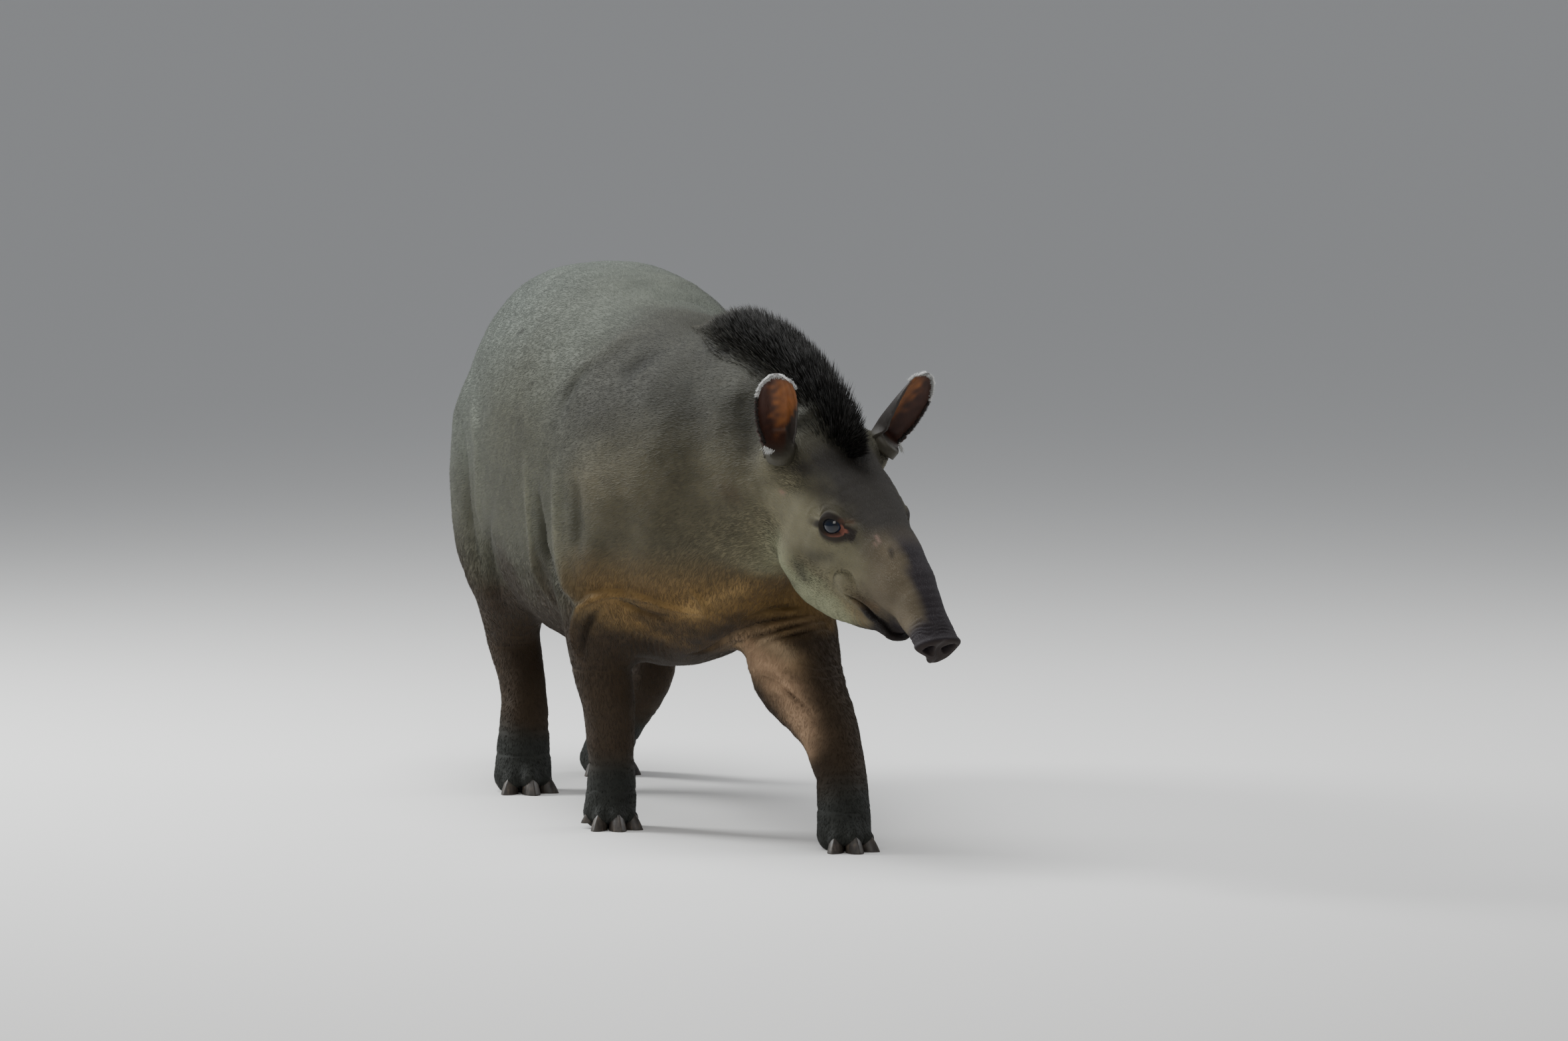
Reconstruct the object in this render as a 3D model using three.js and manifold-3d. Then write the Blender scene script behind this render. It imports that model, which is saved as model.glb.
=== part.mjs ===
// A lowland tapir in mid step, life size, as a museum shows it. Lengths are in millimetres:
// +X runs towards the head, +Y to the animal's left and +Z up, with the floor at Z = 0.
// The flesh is one smooth field of lofted parts, which flat cuts part into the named pieces.
import * as THREE from 'three';
import { LoftGeometry } from 'three/addons/geometries/LoftGeometry.js';
import { mergeVertices } from 'three/addons/utils/BufferGeometryUtils.js';
import Module from 'manifold-3d';

const wasm = await Module();
wasm.setup();

// Trunk
const WITHERS = 935;
const BACK = 1033;
const CHEST_FLOOR = 298;
const BARREL = 270;
// Head: where it hangs from, how it is turned, and how far its parts reach
const POLL = [780, 140, 712];
const HEAD_YAW = 17;
const HEAD_PITCH = 40;
const SNOUT_REACH = 452;
const SNOUT_SLANT = 18;
const NOSTRIL = { out: 19, up: -26, wide: 9, high: 13, deep: 26 };
const LIP_TIP = 374;
const MOUTH_LEVEL = -88;
const MOUTH_START = 262;
const LIP = 6.5;
// Eyes
const EYE_RADIUS = 24;
const EYE = { forward: 160, out: 66, up: -3 };
const LID = 4;
const EYE_OPENING = { long: 23, high: 17, deep: 14 };
const EYE_SIDES = 13;
// Ears
const EAR_LENGTH = 146;
const EAR_WIDTH = 92;
const EAR_WALL = 5;
const EAR_ROOT = { forward: -4, out: 118, up: 38 };
const EAR_LEAN = 17;
const EAR_SPLAY = { right: 15, left: 27 };
const EAR_TURN = { right: 36, left: 10 };
// Mane: rows of locks, each with how far off the crest it grows, its lean and its share of the height
const MANE_HEIGHT = 64;
const MANE_ROWS = [
  { off: 0, lean: 1, tall: 1, count: 19, start: 0 },
  { off: 14, lean: 19, tall: 0.88, count: 17, start: 0.02 },
  { off: -14, lean: -19, tall: 0.88, count: 17, start: 0.02 },
];
const LOCK = { half: 16, thick: 5, sunk: 10, sides: 4 };
// Feet and tail
const HOOF = { fore: 27, rear: 15, wide: 33, high: 34 };
const FORE_TOES = [[-36, 1], [2, 1.1], [40, 1], [84, 0.72]];
const HIND_TOES = [[-45, 1.05], [0, 1.18], [45, 1.05]];
const SMALL_TOE_LIFT = 10;
const TAIL_LENGTH = 85;
// The gap that touching pieces keep, and how far the blending of two parts reaches
const GAP = 0.3;
const REACH = 140;

const radians = THREE.MathUtils.degToRad;
const clamp = THREE.MathUtils.clamp;

// A set of axes of its own: forward, left and up from an origin.
class Frame {
  constructor(origin, yaw = 0, pitch = 0) {
    const [cy, sy] = [Math.cos(radians(yaw)), Math.sin(radians(yaw))];
    const [cp, sp] = [Math.cos(radians(pitch)), Math.sin(radians(pitch))];
    this.origin = origin;
    this.forward = [cp * cy, cp * sy, -sp];
    this.left = [-sy, cy, 0];
    this.up = [sp * cy, sp * sy, cp];
  }

  along(f, s, u) {
    return [0, 1, 2].map((i) => this.forward[i] * f + this.left[i] * s + this.up[i] * u);
  }

  at(f, s, u) {
    return this.along(f, s, u).map((v, i) => v + this.origin[i]);
  }
}

const WORLD = new Frame([0, 0, 0]);
const HEAD = new Frame(POLL, HEAD_YAW, HEAD_PITCH);

// Rows of numbers made smooth: each stretch between two rows is cut into steps.
function smoothRows(rows, steps) {
  const row = (i) => rows[clamp(i, 0, rows.length - 1)];
  const made = [];
  for (let i = 0; i < rows.length - 1; i += 1) {
    const [a, b, c, d] = [row(i - 1), row(i), row(i + 1), row(i + 2)];
    for (let n = 0; n < steps; n += 1) {
      const t = n / steps;
      made.push(b.map((v, j) => v + 0.5 * t * (c[j] - a[j]
        + t * (2 * a[j] - 5 * v + 4 * c[j] - d[j] + t * (3 * v - a[j] - 3 * c[j] + d[j])))));
    }
  }
  made.push(row(rows.length - 1));
  return made;
}

// A lofted part as a field: negative inside, and about the distance to its skin outside.
// Each station is [x, y, z, half width, reach up or forward, reach down or back].
function loft(stations, { side = [0, 1, 0], power = 2, topPower = power, steps = 3 } = {}) {
  const rings = smoothRows(stations, steps);
  const across = new THREE.Vector3(...side);
  const stretches = [];
  for (let i = 0; i < rings.length - 1; i += 1) {
    const [a, b] = [rings[i], rings[i + 1]];
    const step = new THREE.Vector3(b[0] - a[0], b[1] - a[1], b[2] - a[2]);
    const t = step.clone().normalize();
    const s = across.clone().addScaledVector(t, -across.dot(t)).normalize();
    const n = new THREE.Vector3().crossVectors(t, s);
    stretches.push([a, b, step.toArray(), step.lengthSq(), s.toArray(), n.toArray(), t.toArray()]);
  }
  const reach = rings.map((r) => Math.max(r[3], r[4], r[5]));
  const low = [0, 1, 2].map((j) => Math.min(...rings.map((r, i) => r[j] - reach[i])));
  const high = [0, 1, 2].map((j) => Math.max(...rings.map((r, i) => r[j] + reach[i])));
  return (x, y, z) => {
    const off = Math.hypot(
      Math.max(low[0] - x, x - high[0], 0),
      Math.max(low[1] - y, y - high[1], 0),
      Math.max(low[2] - z, z - high[2], 0),
    );
    if (off > REACH) return off;
    let nearest = Infinity;
    for (const [a, b, d, length2, s, n, t] of stretches) {
      const [px, py, pz] = [x - a[0], y - a[1], z - a[2]];
      const share = clamp((px * d[0] + py * d[1] + pz * d[2]) / length2, 0, 1);
      const [qx, qy, qz] = [px - d[0] * share, py - d[1] * share, pz - d[2] * share];
      const [half, up, down] = [3, 4, 5].map((j) => a[j] + (b[j] - a[j]) * share);
      const rise = qx * n[0] + qy * n[1] + qz * n[2];
      const wide = Math.abs(qx * s[0] + qy * s[1] + qz * s[2]) / half;
      const tall = Math.abs(rise) / (rise > 0 ? up : down);
      const past = (qx * t[0] + qy * t[1] + qz * t[2]) / Math.min(half, up, down);
      const bend = rise > 0 ? topPower : power;
      const oval = (wide ** bend + tall ** bend) ** (1 / bend);
      const scale = Math.hypot(oval, past);
      const from = Math.hypot(qx, qy, qz);
      const value = scale > 1e-3 ? from * (1 - 1 / scale) : -Math.min(half, up, down);
      if (value < nearest) nearest = value;
    }
    return nearest;
  };
}

// A rounded lump as a field.
function lump(centre, radius) {
  return (x, y, z) => Math.hypot(x - centre[0], y - centre[1], z - centre[2]) - radius;
}

// Two fields run into each other over a fillet of about the given size.
function fillet(a, b, size) {
  const h = Math.max(size - Math.abs(a - b), 0) / size;
  return Math.min(a, b) - h * h * size * 0.25;
}

function joined(parts) {
  return (x, y, z) => parts.reduce((d, [field, size]) => fillet(d, field(x, y, z), size), 1e6);
}

// Corners of a lattice cell are numbered by bits, and edges by direction and first corner.
const CELL_EDGES = [0, 1, 2].flatMap((d) => [0, 1, 2, 3, 4, 5, 6, 7]
  .filter((c) => !((c >> d) & 1)).map((c) => [c, c | (1 << d), d]));
const edgeNumber = (corner, d) => CELL_EDGES.findIndex(([c, , e]) => c === corner && e === d);
const CELL_FACES = [0, 1, 2].flatMap((d) => [0, 1].map((side) => {
  const [a, b] = [(d + 1) % 3, (d + 2) % 3];
  const c0 = side << d;
  const [c1, c3] = [c0 | (1 << a), c0 | (1 << b)];
  return {
    corners: [c0, c1, c1 | c3, c3],
    edges: [edgeNumber(c0, a), edgeNumber(c1, b), edgeNumber(c3, a), edgeNumber(c0, b)],
  };
}));

// The edges of one cell that the surface crosses, in groups that each get one vertex.
function edgeGroups(inside) {
  const group = CELL_EDGES.map(([a, b], i) => (inside[a] !== inside[b] ? i : -1));
  const merge = (p, q) => {
    const [from, to] = [group[p], group[q]];
    group.forEach((g, i) => {
      if (g === from) group[i] = to;
    });
  };
  for (const { corners, edges } of CELL_FACES) {
    const crossed = edges.filter((e) => group[e] >= 0);
    if (crossed.length === 2) merge(crossed[0], crossed[1]);
    if (crossed.length === 4) {
      corners.forEach((c, i) => inside[c] && merge(edges[i], edges[(i + 3) % 4]));
    }
  }
  return group;
}

// The skin of a field inside a box of the frame's axes, as one closed mesh of four-sided
// faces cut along their shorter diagonal.
function polygonise(field, frame, low, high, cell) {
  const count = low.map((v, i) => Math.ceil((high[i] - v) / cell[i]) + 1);
  const stride = [1, count[0], count[0] * count[1]];
  const place = (ijk) => frame.at(...ijk.map((n, i) => low[i] + n * cell[i]));
  const value = new Float64Array(count[0] * count[1] * count[2]);
  const indexOf = (ijk) => ijk[0] + ijk[1] * stride[1] + ijk[2] * stride[2];
  const each = (limit, act) => {
    for (let k = 0; k < limit[2]; k += 1) {
      for (let j = 0; j < limit[1]; j += 1) {
        for (let i = 0; i < limit[0]; i += 1) act([i, j, k]);
      }
    }
  };
  each(count, (ijk) => {
    const border = ijk.some((n, i) => n === 0 || n === count[i] - 1);
    const v = field(...place(ijk));
    value[indexOf(ijk)] = border ? Math.max(v, 0.3 * Math.min(...cell)) : v;
  });
  const corner = (ijk, c) => [ijk[0] + (c & 1), ijk[1] + ((c >> 1) & 1), ijk[2] + ((c >> 2) & 1)];
  const positions = [];
  const vertexOf = new Map();
  const most = 0.7 * Math.min(...cell);
  each(count.map((n) => n - 1), (ijk) => {
    const values = [0, 1, 2, 3, 4, 5, 6, 7].map((c) => value[indexOf(corner(ijk, c))]);
    const inside = values.map((v) => v < 0);
    if (inside.every((v) => v === inside[0])) return;
    const group = edgeGroups(inside);
    const vertices = new Array(12).fill(-1);
    for (const g of new Set(group.filter((n) => n >= 0))) {
      const mean = new THREE.Vector3();
      const own = group.flatMap((n, i) => (n === g ? [i] : []));
      for (const e of own) {
        const [a, b] = CELL_EDGES[e];
        const share = values[a] / (values[a] - values[b]);
        const [pa, pb] = [corner(ijk, a), corner(ijk, b)];
        mean.add(new THREE.Vector3(...place(pa.map((v, i) => v + (pb[i] - v) * share))));
        vertices[e] = positions.length / 3;
      }
      mean.divideScalar(own.length);
      const atBorder = ijk.some((n, i) => n === 0 || n === count[i] - 2);
      if (!atBorder) settle(field, mean, most);
      positions.push(mean.x, mean.y, mean.z);
    }
    vertexOf.set(indexOf(ijk), vertices);
  });
  const faces = [];
  each(count, (ijk) => {
    for (const d of [0, 1, 2]) {
      const [a, b] = [(d + 1) % 3, (d + 2) % 3];
      if (ijk[d] === count[d] - 1 || !ijk[a] || !ijk[b]) continue;
      if (ijk[a] === count[a] - 1 || ijk[b] === count[b] - 1) continue;
      const here = indexOf(ijk);
      const [start, end] = [value[here] < 0, value[here + stride[d]] < 0];
      if (start === end) continue;
      const quad = [[0, 0], [1, 0], [1, 1], [0, 1]].map(([p, q]) => {
        const cellIndex = here - p * stride[a] - q * stride[b];
        return vertexOf.get(cellIndex)[edgeNumber((p << a) | (q << b), d)];
      });
      if (!start) quad.reverse();
      const apart = (m, n) => Math.hypot(...[0, 1, 2]
        .map((i) => positions[3 * quad[m] + i] - positions[3 * quad[n] + i]));
      const [w, x, y, z] = quad;
      if (apart(0, 2) < apart(1, 3)) faces.push(w, x, y, w, y, z);
      else faces.push(w, x, z, x, y, z);
    }
  });
  const geometry = new THREE.BufferGeometry();
  geometry.setAttribute('position', new THREE.Float32BufferAttribute(positions, 3));
  geometry.setIndex(faces);
  return geometry;
}

// A point is moved along the field's slope on to its skin.
function settle(field, point, most) {
  const start = point.clone();
  for (let turn = 0; turn < 3; turn += 1) {
    const v = field(point.x, point.y, point.z);
    const slope = new THREE.Vector3(
      field(point.x + 1, point.y, point.z) - v,
      field(point.x, point.y + 1, point.z) - v,
      field(point.x, point.y, point.z + 1) - v,
    );
    point.addScaledVector(slope, -v / Math.max(slope.lengthSq(), 0.2));
  }
  point.sub(start).clampLength(0, most).add(start);
}

// Solids
function positionsOnly(geometry) {
  const bare = new THREE.BufferGeometry();
  bare.setAttribute('position', geometry.attributes.position.clone());
  bare.setIndex(geometry.index);
  return mergeVertices(bare, 1e-3);
}

function solid(geometry) {
  const merged = positionsOnly(geometry);
  return new wasm.Manifold(new wasm.Mesh({
    numProp: 3,
    vertProperties: new Float32Array(merged.attributes.position.array),
    triVerts: new Uint32Array(merged.index.array),
  }));
}

// The same mesh with each vertex moved out along its normal.
function grown(geometry, by) {
  const merged = positionsOnly(geometry);
  merged.computeVertexNormals();
  const { position, normal } = merged.attributes;
  for (let i = 0; i < position.count; i += 1) {
    const n = new THREE.Vector3().fromBufferAttribute(normal, i).multiplyScalar(by);
    position.setXYZ(i, position.getX(i) + n.x, position.getY(i) + n.y, position.getZ(i) + n.z);
  }
  return solid(merged);
}

// Everything on the side of a flat cut that the normal points to, less half the gap.
function beyond(point, normal, inset = GAP / 2) {
  const size = 4000;
  const n = new THREE.Vector3(...normal).normalize();
  const box = new THREE.BoxGeometry(size, size, size);
  box.translate(0, 0, size / 2 + inset);
  box.applyQuaternion(new THREE.Quaternion().setFromUnitVectors(new THREE.Vector3(0, 0, 1), n));
  box.translate(...point);
  return solid(box);
}

const opposite = (v) => v.map((n) => -n);

// The largest closed surface of a solid.
function largest(made) {
  const bodies = made.decompose();
  return bodies.reduce((best, b) => (b.volume() > best.volume() ? b : best));
}

// A round or oval ring of points about a centre, in the plane of two directions.
function ring(centre, across, upward, { half, up, down = up, sides, power = 2 }) {
  const points = [];
  for (let i = 0; i < sides; i += 1) {
    const angle = (i / sides) * 2 * Math.PI;
    const bend = (v) => Math.sign(v) * Math.abs(v) ** (2 / power);
    const [c, s] = [bend(Math.cos(angle)), bend(Math.sin(angle))];
    const rise = s > 0 ? s * up : s * down;
    points.push(new THREE.Vector3(
      centre[0] + across[0] * c * half + upward[0] * rise,
      centre[1] + across[1] * c * half + upward[1] * rise,
      centre[2] + across[2] * c * half + upward[2] * rise,
    ));
  }
  return points;
}

// A solid skinned over rings, which are taken in the order that faces it outwards.
function lofted(sections) {
  const middle = (points) => points.reduce((sum, p) => sum.add(p), new THREE.Vector3()).divideScalar(points.length);
  const [start, end] = [middle(sections[0]), middle(sections[1])];
  const [first, second] = sections[0].map((p) => p.clone().sub(start));
  const rightHanded = first.cross(second).dot(end.sub(start)) > 0;
  const rings = rightHanded ? sections : sections.map((s) => [...s].reverse());
  return solid(new LoftGeometry(rings, { capStart: true, capEnd: true }));
}

// Flesh
const trunkStation = ([x, y, top, bottom, half]) => {
  const reach = (top - bottom) / 2;
  return [x, y, bottom + reach, half, reach, reach];
};

const trunk = loft([
  [-620, 10, 830, 620, 70],
  [-575, 14, 905, 480, 132],
  [-470, 18, BACK - 52, 416, 198],
  [-330, 20, BACK - 12, 356, BARREL - 30],
  [-150, 16, BACK, CHEST_FLOOR + 6, BARREL - 2],
  [50, 6, BACK - 20, CHEST_FLOOR - 8, BARREL],
  [220, 0, WITHERS + 24, CHEST_FLOOR, BARREL - 14],
  [350, 0, WITHERS + 10, CHEST_FLOOR + 10, BARREL - 48],
  [460, 0, WITHERS - 30, CHEST_FLOOR + 87, BARREL - 95],
].map(trunkStation), { power: 2.35, topPower: 2.02 });

const neck = loft([
  [300, 0, 640, 210, 305, 320],
  [430, 6, 645, 185, 278, 290],
  [540, 42, 655, 155, 280, 225],
  [640, 86, 675, 132, 252, 160],
  [720, 120, 690, 112, 168, 135],
  [...HEAD.at(0, 0, -50), 90, 95, 100],
]);

const onHead = (rows) => rows.map(([f, u, half, up, down]) => [...HEAD.at(f, 0, u), half, up, down]);

const skull = loft(onHead([
  [-60, -50, 80, 75, 90],
  [0, -40, 94, 94, 110],
  [90, -40, 102, 102, 110],
  [160, -35, 88, 94, 95],
  [220, -25, 70, 86, 78],
  [280, -18, 54, 78, 58],
  [330, -13, 46, 62, 44],
]), { side: HEAD.left, power: 2.3 });

const proboscis = loft(onHead([
  [250, -20, 58, 80, 66],
  [300, -15, 50, 72, 52],
  [350, -12, 44, 58, 45],
  [400, -18, 42, 46, 42],
  [SNOUT_REACH - 4, -24, 46, 36, 44],
  [SNOUT_REACH + 46, -27, 47, 33, 44],
]), { side: HEAD.left, power: 1.75, topPower: 2.5 });

const jaw = loft(onHead([
  [40, -130, 74, 60, 66],
  [130, -140, 76, 60, 72],
  [200, -125, 57, 50, 68],
  [260, -108, 42, 40, 48],
  [315, -97, 34, 28, 23],
  [LIP_TIP - 14, -88, 25, 15, 13],
]), { side: HEAD.left });

// Limb stations are [x, y, z, half width, reach forward, reach back].
const FORE_RIGHT = [
  [400, -150, 640, 80, 120, 110],
  [365, -165, 500, 78, 105, 100],
  [342, -165, 410, 66, 80, 78],
  [335, -155, 310, 55, 58, 62],
  [342, -140, 215, 50, 52, 46],
  [336, -135, 130, 43, 44, 42],
  [336, -135, 70, 47, 50, 44],
  [340, -139, 28, 50, 46, 40],
];
const FORE_LEFT = [
  [430, 150, 640, 80, 120, 110],
  [430, 165, 500, 78, 100, 100],
  [480, 166, 400, 86, 80, 90],
  [560, 157, 300, 87, 60, 74],
  [640, 188, 205, 58, 54, 50],
  [710, 191, 125, 48, 43, 42],
  [760, 180, 66, 49, 48, 44],
  [780, 173, 28, 50, 46, 40],
];
const HIND_RIGHT = [
  [-400, -130, 700, 92, 170, 150],
  [-355, -155, 540, 88, 130, 135],
  [-285, -158, 430, 76, 85, 100],
  [-310, -144, 355, 61, 60, 70],
  [-345, -126, 285, 53, 52, 54],
  [-300, -120, 190, 45, 44, 42],
  [-262, -131, 90, 52, 46, 44],
  [-245, -138, 28, 57, 48, 42],
];
const HIND_LEFT = [
  [-430, 140, 700, 92, 170, 150],
  [-365, 165, 540, 86, 130, 135],
  [-300, 172, 430, 70, 85, 100],
  [-315, 170, 355, 54, 60, 68],
  [-350, 166, 285, 45, 52, 52],
  [-352, 152, 195, 42, 43, 41],
  [-458, 114, 88, 46, 45, 43],
  [-482, 100, 28, 52, 48, 42],
];
const limb = (stations) => loft(stations, { power: 2.1 });

const sides = [1, -1];
const flesh = joined([
  [trunk, 1],
  [neck, 60],
  [skull, 40],
  [proboscis, 12],
  [jaw, 34],
  ...sides.map((s) => [lump(HEAD.at(110, s * 58, -118), 46), 26]),
  ...sides.map((s) => [lump(HEAD.at(EYE.forward - 4, s * 64, EYE.up + 4), 27), 20]),
  ...sides.map((s) => [lump(HEAD.at(-8, s * 96, 4), 38), 34]),
  [limb(FORE_RIGHT), 50],
  [limb(FORE_LEFT), 50],
  [limb(HIND_RIGHT), 60],
  [limb(HIND_LEFT), 60],
]);

// Flat cuts
const NECK_CUT = { at: [430, 0, 650], normal: [0.956, 0, 0.294] };
const HEAD_CUT = { at: HEAD.at(0, 0, -80), normal: HEAD.along(0.953, 0, 0.302) };
const SNOUT_CUT = { at: HEAD.at(350, 0, -70), normal: HEAD.along(0.902, 0, 0.433) };
const MOUTH_CUT = { at: HEAD.at(0, 0, MOUTH_LEVEL), normal: HEAD.up };
const front = (cut) => beyond(cut.at, cut.normal);
const behind = (cut) => beyond(cut.at, opposite(cut.normal));

// The space of one leg: below a slope that rises outwards, between two upright cuts.
function legSpace({ side, rear, fore, inner = 50, start = 332, slope = 1.1 }, inset = GAP / 2) {
  const cuts = [
    [[0, side * inner, 0], [0, side, 0]],
    [[0, side * inner, start], [0, side * slope, -1]],
    [[rear, 0, 0], [1, 0, 0]],
    [[fore, 0, 0], [-1, 0, 0]],
  ];
  return cuts.map(([at, normal]) => beyond(at, normal, inset)).reduce((a, b) => a.intersect(b));
}

const LEGS = {
  foreleg_right: { side: -1, rear: 225, fore: 470, stations: FORE_RIGHT, toes: FORE_TOES },
  foreleg_left: { side: 1, rear: 290, fore: 1000, stations: FORE_LEFT, toes: FORE_TOES },
  hindleg_right: { side: -1, rear: -640, fore: -120, start: 390, stations: HIND_RIGHT, toes: HIND_TOES },
  hindleg_left: { side: 1, rear: -640, fore: -165, start: 390, stations: HIND_LEFT, toes: HIND_TOES },
};

// Where a line from inside the flesh comes out of it.
function castOut(from, direction, field = flesh) {
  const at = (d) => from.map((v, i) => v + direction[i] * d);
  let [near, far] = [0, 20];
  while (field(...at(far)) < 0) [near, far] = [far, far + 20];
  for (let turn = 0; turn < 16; turn += 1) {
    const middle = (near + far) / 2;
    if (field(...at(middle)) < 0) near = middle;
    else far = middle;
  }
  return at(near);
}

const plus = (p, v, by = 1) => p.map((n, i) => n + v[i] * by);
const unit = (v) => v.map((n) => n / Math.hypot(...v));
const cross = (a, b) => new THREE.Vector3(...a).cross(new THREE.Vector3(...b)).toArray();

// Colours of the coat, skin and horn
const finish = (color, roughness) => new THREE.MeshStandardMaterial({ color, roughness, metalness: 0 });
const COAT = finish(0x6f6a66, 0.85);
const CHEEK = finish(0x8a8072, 0.85);
const LEG_COAT = finish(0x4b4440, 0.85);
const EAR_SKIN = finish(0x7a4a2a, 0.7);
const EYE_GLOSS = finish(0x0d1016, 0.08);
const HOOF_HORN = finish(0x2a2624, 0.45);

const tapir = new THREE.Group();
function add(name, made, material) {
  const { numProp, vertProperties, triVerts } = largest(made).getMesh();
  const positions = new Float32Array((vertProperties.length / numProp) * 3);
  for (let i = 0; i < positions.length / 3; i += 1) {
    positions.set(vertProperties.subarray(i * numProp, i * numProp + 3), i * 3);
  }
  const geometry = new THREE.BufferGeometry();
  geometry.setAttribute('position', new THREE.BufferAttribute(positions, 3));
  geometry.setIndex(new THREE.BufferAttribute(triVerts, 1));
  const mesh = new THREE.Mesh(geometry, material);
  mesh.name = name;
  tapir.add(mesh);
}

const united = (parts) => parts.reduce((a, b) => a.add(b));
const without = (made, parts) => parts.reduce((a, b) => a.subtract(b), made);

// Torso
const legSpaces = Object.values(LEGS).map((leg) => legSpace(leg, -GAP / 2));
const torsoShape = polygonise(flesh, WORLD, [-740, -330, 220], [600, 330, 1100], [76, 60, 60]);
add('torso', without(solid(torsoShape), legSpaces).intersect(behind(NECK_CUT)), COAT);

// Tail: a short oval stub that hangs from the rump
function tail() {
  const root = castOut([-450, 0, 800], [-1, 0, 0]);
  const along = unit([-0.5, 0, -0.86]);
  const upward = cross(along, [0, 1, 0]);
  const sections = [[-30, 27, 24], [10, 25, 20], [35, 21, 16], [60, 16, 12], [TAIL_LENGTH, 9, 6]]
    .map(([t, half, up]) => ring(plus(root, along, t), [0, 1, 0], upward, { half, up, sides: 8 }));
  return lofted(sections).subtract(grown(torsoShape, 2 * GAP));
}
add('tail', tail(), COAT);

// Feet: each toe is a short limb that ends in a hoof of its own
function toeAxes(turn, side) {
  const angle = radians(turn * side);
  return { along: [Math.cos(angle), Math.sin(angle), 0], across: [-Math.sin(angle), Math.cos(angle), 0] };
}

function hoof({ centre, turn, size, side, lift }, by = 0) {
  const { along, across } = toeAxes(turn, side);
  const rise = [[-by * 20, 1], [0, 1], [0.55, 0.86], [1, 0.5]];
  const sections = rise.map(([share, wide]) => {
    const back = Math.max(share, 0) * 10 * size;
    const at = plus([...centre, lift + share * HOOF.high * size + (share === 1 ? by : 0)], along, -back);
    const [half, up, down] = [HOOF.wide / 2, HOOF.fore, HOOF.rear].map((v) => v * wide * size + by);
    return ring(at, across, along, { half, up, down, sides: 8 });
  });
  return lofted(by ? sections : sections.slice(1));
}

function toe({ centre, turn, size, side, lift, foot }) {
  const { along, across } = toeAxes(turn, side);
  const inner = plus([foot[0], foot[1], 56], along, 6);
  const knuckle = plus([...centre, lift + 30 * size], along, -22 * size);
  const tip = plus([...centre, lift + 20 * size], along, -2);
  const limbAlong = unit(plus(tip, inner, -1));
  const upward = cross(limbAlong, across);
  const sections = [[inner, 20], [knuckle, 19.5 * size], [plus(knuckle, plus(tip, knuckle, -1), 0.6), 18 * size],
    [tip, 13 * size]].map(([at, r]) => ring(at, across, upward, { half: r, up: r, sides: 7 }));
  return lofted(sections);
}

function toesOf({ side, stations, toes }) {
  const [x, y] = stations[stations.length - 1];
  return toes.map(([turn, size]) => {
    const { along } = toeAxes(turn, side);
    const reach = size < 0.9 ? 44 : 42 + 14 * size;
    return {
      centre: [x + along[0] * reach, y + along[1] * reach * 0.9],
      foot: [x, y],
      turn,
      size,
      side,
      lift: size < 0.9 ? SMALL_TOE_LIFT : 0,
    };
  });
}

const floor = beyond([0, 0, 0], [0, 0, 1], 0);
for (const [name, leg] of Object.entries(LEGS)) {
  const xs = leg.stations.map((s) => s[0]);
  const low = [Math.min(...xs) - 200, leg.side > 0 ? 0 : -330, -40];
  const high = [Math.max(...xs) + 200, leg.side > 0 ? 330 : 0, 760];
  const shape = solid(polygonise(flesh, WORLD, low, high, [36, 32, 56]));
  const toes = toesOf(leg);
  const foot = united([shape.intersect(legSpace(leg)), ...toes.map(toe)]);
  add(name, without(foot, toes.map((t) => hoof(t, GAP))).intersect(floor), LEG_COAT);
  toes.forEach((t, i) => add(`hoof_${name}_${i + 1}`, hoof(t), HOOF_HORN));
}

// Mane: where its crest runs, from the withers to the forehead
const CREST = new THREE.CatmullRomCurve3([
  [372, 0, 720],
  [430, 8, 720],
  [540, 42, 715],
  [640, 84, 710],
  [715, 120, 705],
  HEAD.at(-10, 0, -30),
  HEAD.at(30, 0, -30),
  HEAD.at(56, 0, -30),
].map((p) => new THREE.Vector3(...p)));

function crestAxes(share) {
  const along = CREST.getTangentAt(share).toArray();
  const upward = unit(plus([0, 0, 1], along, -along[2]));
  const inside = CREST.getPointAt(share).toArray();
  return { along, upward, across: cross(upward, along), top: castOut(inside, upward) };
}

const maneHeight = (share) => MANE_HEIGHT * Math.min(1, 0.12 + share * 2.3, (1 - share) * 3 + 0.5) ** 0.9;

// A random number from low to high; its order never changes.
let drawn = 0;
function between(low, high) {
  drawn += 1;
  return low + (high - low) * THREE.MathUtils.seededRandom(drawn * 7919);
}

// One lock: a flat blade with its root sunk in the flesh, which bends back along the neck.
function lock(share, { off, lean, tall }) {
  const { along, upward, across, top } = crestAxes(share);
  const height = maneHeight(share) * tall * between(0.92, 1.08);
  const root = plus(plus(top, across, off + between(-2, 2)), upward, -LOCK.sunk);
  const outward = Math.tan(radians(lean + between(-6, 6)));
  const [back, turn] = [between(0.08, 0.2), radians(between(-14, 14))];
  const width = plus(along.map((v) => v * Math.cos(turn)), across, Math.sin(turn));
  const depth = cross(upward, width);
  const sections = [[0, 0.9], [0.5, 1], [0.84, 0.7], [1, 0.16]].map(([t, size]) => {
    const rise = (height + LOCK.sunk) * t;
    const bent = rise * (back + 0.3 * t * t);
    const at = plus(plus(plus(root, upward, rise), across, outward * rise), along, -bent);
    return ring(at, width, depth, { half: LOCK.half * size, up: LOCK.thick * size, sides: LOCK.sides });
  });
  return lofted(sections);
}

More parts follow.
